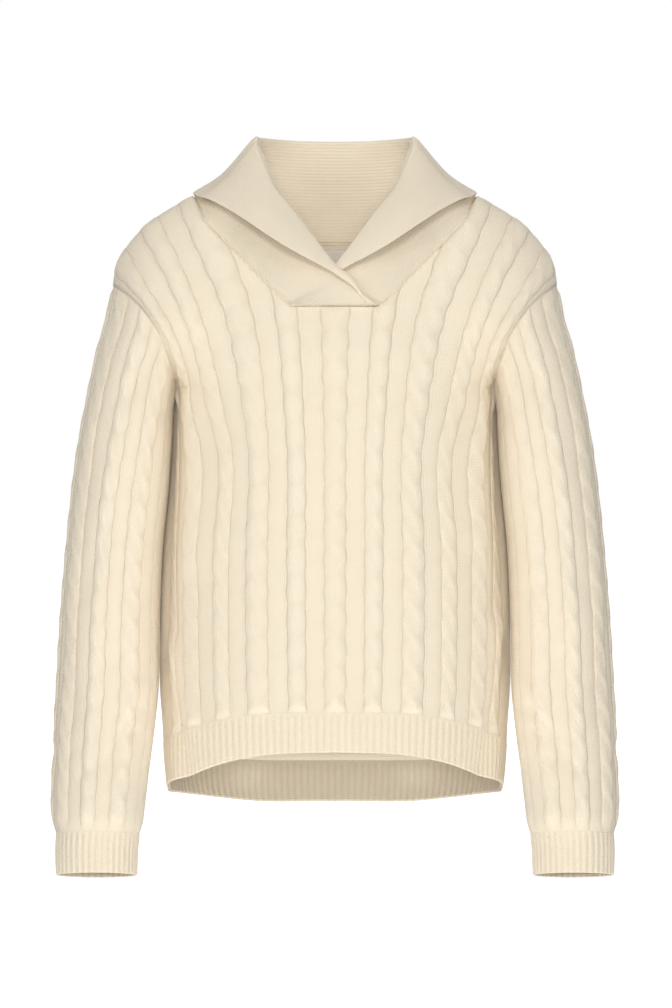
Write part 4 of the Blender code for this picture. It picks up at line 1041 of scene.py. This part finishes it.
def knit_material(name, stitch, row, stitch_depth, rib_pitch=None):
    """Wool knitted in stitches of the given width and height, in millimetres.

    With a rib pitch, ribs of that pitch run along the knit, and hollow is how strong
    they are; without one, it is how deep the stitch lies in a purl groove.
    """
    made, (across, along, hollow), add, calc, relief, tint = fabric(name, roughness=0.9, sheen=0.45)
    object_place = add("ShaderNodeTexCoord", {}).outputs["Object"]

    def noise(scale, detail, roughness):
        inputs = {"Vector": object_place, "Scale": scale, "Detail": detail, "Roughness": roughness}
        return add("ShaderNodeTexNoise", inputs).outputs["Fac"]

    # Painted shade in hollows and purl grooves, and between a stitch's legs; bars and furrows are bumps,
    # patches the yarn's uneven tone
    purl_painted_shade, purl_bars, furrow_depth = 0.36, 0.35, 0.0
    leg_slant, leg_wave, leg_height = 0.55, 0.30, 0.65
    fibre_rise, lint_rise, stitch_painted_shade, patch_shade = 0.18, 0.28, 0.16, 0.16
    if rib_pitch:
        # The ribs' furrows count as hollow, for painted shade and a sunken bump
        rib = calc("COSINE", calc("MULTIPLY", across, TURN / rib_pitch))
        hollow = calc("MULTIPLY", calc("SUBTRACT", 0.5, calc("MULTIPLY", rib, 0.5)), hollow)
        purl_painted_shade, purl_bars, furrow_depth = 0.18, 0.0, 1.6

    # Each stitch is a V: two legs that slant down to the middle of their column.
    leg = calc("PINGPONG", calc("MULTIPLY", across, 1 / stitch), 0.5)
    leg_round = calc("SINE", calc("MULTIPLY", leg, TURN))
    up = calc("MULTIPLY", along, TURN / row)
    slanted = calc("SUBTRACT", up, calc("MULTIPLY", leg, 2 * TURN * leg_slant))
    stitches = calc("MULTIPLY_ADD", calc("COSINE", slanted), leg_wave, leg_height)
    v_shape = calc("MULTIPLY", leg_round, stitches)
    purl = calc("MULTIPLY", calc("MULTIPLY", calc("COSINE", up), purl_bars), hollow)
    fibre = calc("MULTIPLY", noise(scale=1300.0, detail=3.0, roughness=0.6), fibre_rise)
    lint = calc("MULTIPLY", noise(scale=260.0, detail=2.0, roughness=0.5), lint_rise)
    surface = calc("ADD", calc("ADD", v_shape, purl), calc("ADD", fibre, lint))
    surface = calc("SUBTRACT", surface, calc("MULTIPLY", hollow, furrow_depth))
    relief(surface, strength=0.7, depth=stitch_depth)

    # Painted shade: the colour darkens in hollow spots and between a stitch's legs; the patches add the
    # yarn's own uneven tone
    between = calc("SUBTRACT", 1.0, v_shape, clamp=True)
    shade = calc("ADD", calc("MULTIPLY", hollow, purl_painted_shade), calc("MULTIPLY", between, stitch_painted_shade))
    patch = noise(scale=26.0, detail=2.0, roughness=0.5)
    patches = calc("MULTIPLY", calc("SUBTRACT", patch, 0.5), patch_shade)
    tint(calc("ADD", shade, patches, clamp=True), CREAM, CREAM_PAINTED_SHADE)
    return made


def ribbon_material():
    """Plain woven tape: fine warp and weft, a little satin."""
    made, (across, along, _), _, calc, relief, tint = fabric("label_ribbon", roughness=0.6, sheen=0.1)
    warp_pitch, weft_pitch = 0.7, 0.5
    warp = calc("SINE", calc("MULTIPLY", across, TURN / warp_pitch))
    weft = calc("SINE", calc("MULTIPLY", along, TURN / weft_pitch))
    weave = calc("MULTIPLY", warp, weft)
    relief(weave, strength=0.5, depth=0.12)
    tint(calc("MULTIPLY", calc("ADD", weave, 1.0), 0.35), RIBBON, RIBBON_SHADE)
    return made


# ---- the sweater ----
def declare(piece, node):
    """Parents a piece to the root body and hides its part from model.glb."""
    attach(piece, "root")
    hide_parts(node)


PANEL_KNIT = knit_material("knit_cream", stitch=3.1, row=2.5, stitch_depth=0.55)
RIB_KNIT = knit_material("rib_cream", stitch=HEM_RIB_PITCH / 2, row=2.5, stitch_depth=0.6)
COLLAR_KNIT = knit_material("collar_cream", stitch=COLLAR_RIB_PITCH / 2, row=2.4, stitch_depth=0.4,
                            rib_pitch=COLLAR_RIB_PITCH)

label = make_label(ribbon_material())
panels = {side: make_panel(side, PANEL_KNIT) for side in ("front", "back")}
hems = {side: make_hem(side, RIB_KNIT) for side in ("front", "back")}
collar = make_collar(COLLAR_KNIT)
declare(collar, "shawl_collar")
declare(label, "neck_label")
for side, length, area in (("front", 0.54, 0.200), ("back", 0.60, 0.228)):
    panel, hem = panels[side], hems[side]
    declare(hem, "hem_rib_" + side)
    declare(panel, side + "_panel")
for hand, wearer_side in ((-1, "right"), (1, "left")):
    cuff = make_cuff(hand, "cuff_" + wearer_side, RIB_KNIT)
    sleeve = make_sleeve(hand, "sleeve_" + wearer_side, PANEL_KNIT)
    declare(cuff, "cuff_" + wearer_side)
    declare(sleeve, "sleeve_" + wearer_side)


# ---- floor, light and camera ----
FLOOR_HEIGHT, FLOOR_RADIUS, FLOOR_SIDES = -0.680, 60.0, 96
FLOOR_GREY, FLOOR_GLOW, FLOOR_ROUGHNESS = 0.5, 0.93, 0.95
WHITE = (1.0, 1.0, 1.0, 1.0)
ROOM_LIGHT = 0.32
# name, place, diameter, watts
LIGHTS = (
    ("front_high", (-0.3, -4.1, 1.8), 1.6, 60.0),
    ("front_low", (0.0, -4.6, -0.3), 1.0, 54.0),
    ("left", (-2.9, -2.3, 1.2), 1.6, 25.0),
    ("right", (2.9, -2.3, 1.0), 1.6, 25.0),
    ("below", (0.0, -0.5, -2.6), 1.2, 34.0),
    ("behind", (0.4, 4.3, 1.0), 1.4, 70.0),
)
LIGHT_TARGET = (0.0, 0.0, -0.3)
CAMERA_DISTANCE = 5.0
CAMERA_TARGET = (0.001, 0.0, -0.299)
FRAME_HEIGHT = 1.008  # metres seen from top to bottom at the target
SENSOR_HEIGHT = 36.0


def make_floor():
    """Plain pale floor, wide enough to fill every view; it throws no shadow and lights nothing."""
    bpy.ops.mesh.primitive_circle_add(
        vertices=FLOOR_SIDES, radius=FLOOR_RADIUS, fill_type="NGON", location=(0, 0, FLOOR_HEIGHT))
    floor = bpy.context.object
    floor.name = "floor"
    floor.data.materials.append(new_material("white_paper", {
        "Base Color": (FLOOR_GREY, FLOOR_GREY, FLOOR_GREY, 1.0), "Roughness": FLOOR_ROUGHNESS,
        "Emission Color": WHITE, "Emission Strength": FLOOR_GLOW, "Specular IOR Level": 0.0})[0])
    floor.visible_diffuse = False
    floor.visible_shadow = False


def make_world():
    """White to the camera, dimmer as a light."""
    world = bpy.data.worlds.new("studio")
    world.use_nodes = True
    tree = world.node_tree
    seen = add_node(tree, "ShaderNodeLightPath", {}).outputs["Is Camera Ray"]
    strength = add_node(tree, "ShaderNodeMix", {"Factor": seen, MIX_UNSEEN: ROOM_LIGHT, MIX_SEEN: 1.0})
    feed(tree, tree.nodes["Background"], {"Color": WHITE, "Strength": strength.outputs[0]})
    bpy.context.scene.world = world
    bpy.context.scene.view_settings.view_transform = "Standard"


def put(name, data, place, target):
    """A light or camera at its place, turned towards a point."""
    thing = bpy.data.objects.new(name, data)
    thing.location = place
    way = Vector(target) - Vector(place)
    thing.rotation_euler = way.to_track_quat("-Z", "Y").to_euler()
    bpy.context.scene.collection.objects.link(thing)
    return thing


def make_lights():
    for name, place, diameter, watts in LIGHTS:
        lamp = bpy.data.lights.new(name, "AREA")
        lamp.shape = "DISK"
        lamp.size = diameter
        lamp.energy = watts
        put(name, lamp, place, LIGHT_TARGET)


def make_camera():
    lens = bpy.data.cameras.new("camera")
    lens.sensor_fit = "VERTICAL"
    lens.sensor_height = SENSOR_HEIGHT
    lens.lens = SENSOR_HEIGHT * CAMERA_DISTANCE / FRAME_HEIGHT
    place = (CAMERA_TARGET[0], CAMERA_TARGET[1] - CAMERA_DISTANCE, CAMERA_TARGET[2])
    bpy.context.scene.camera = put("camera", lens, place, CAMERA_TARGET)


make_floor()
make_world()
make_lights()
make_camera()
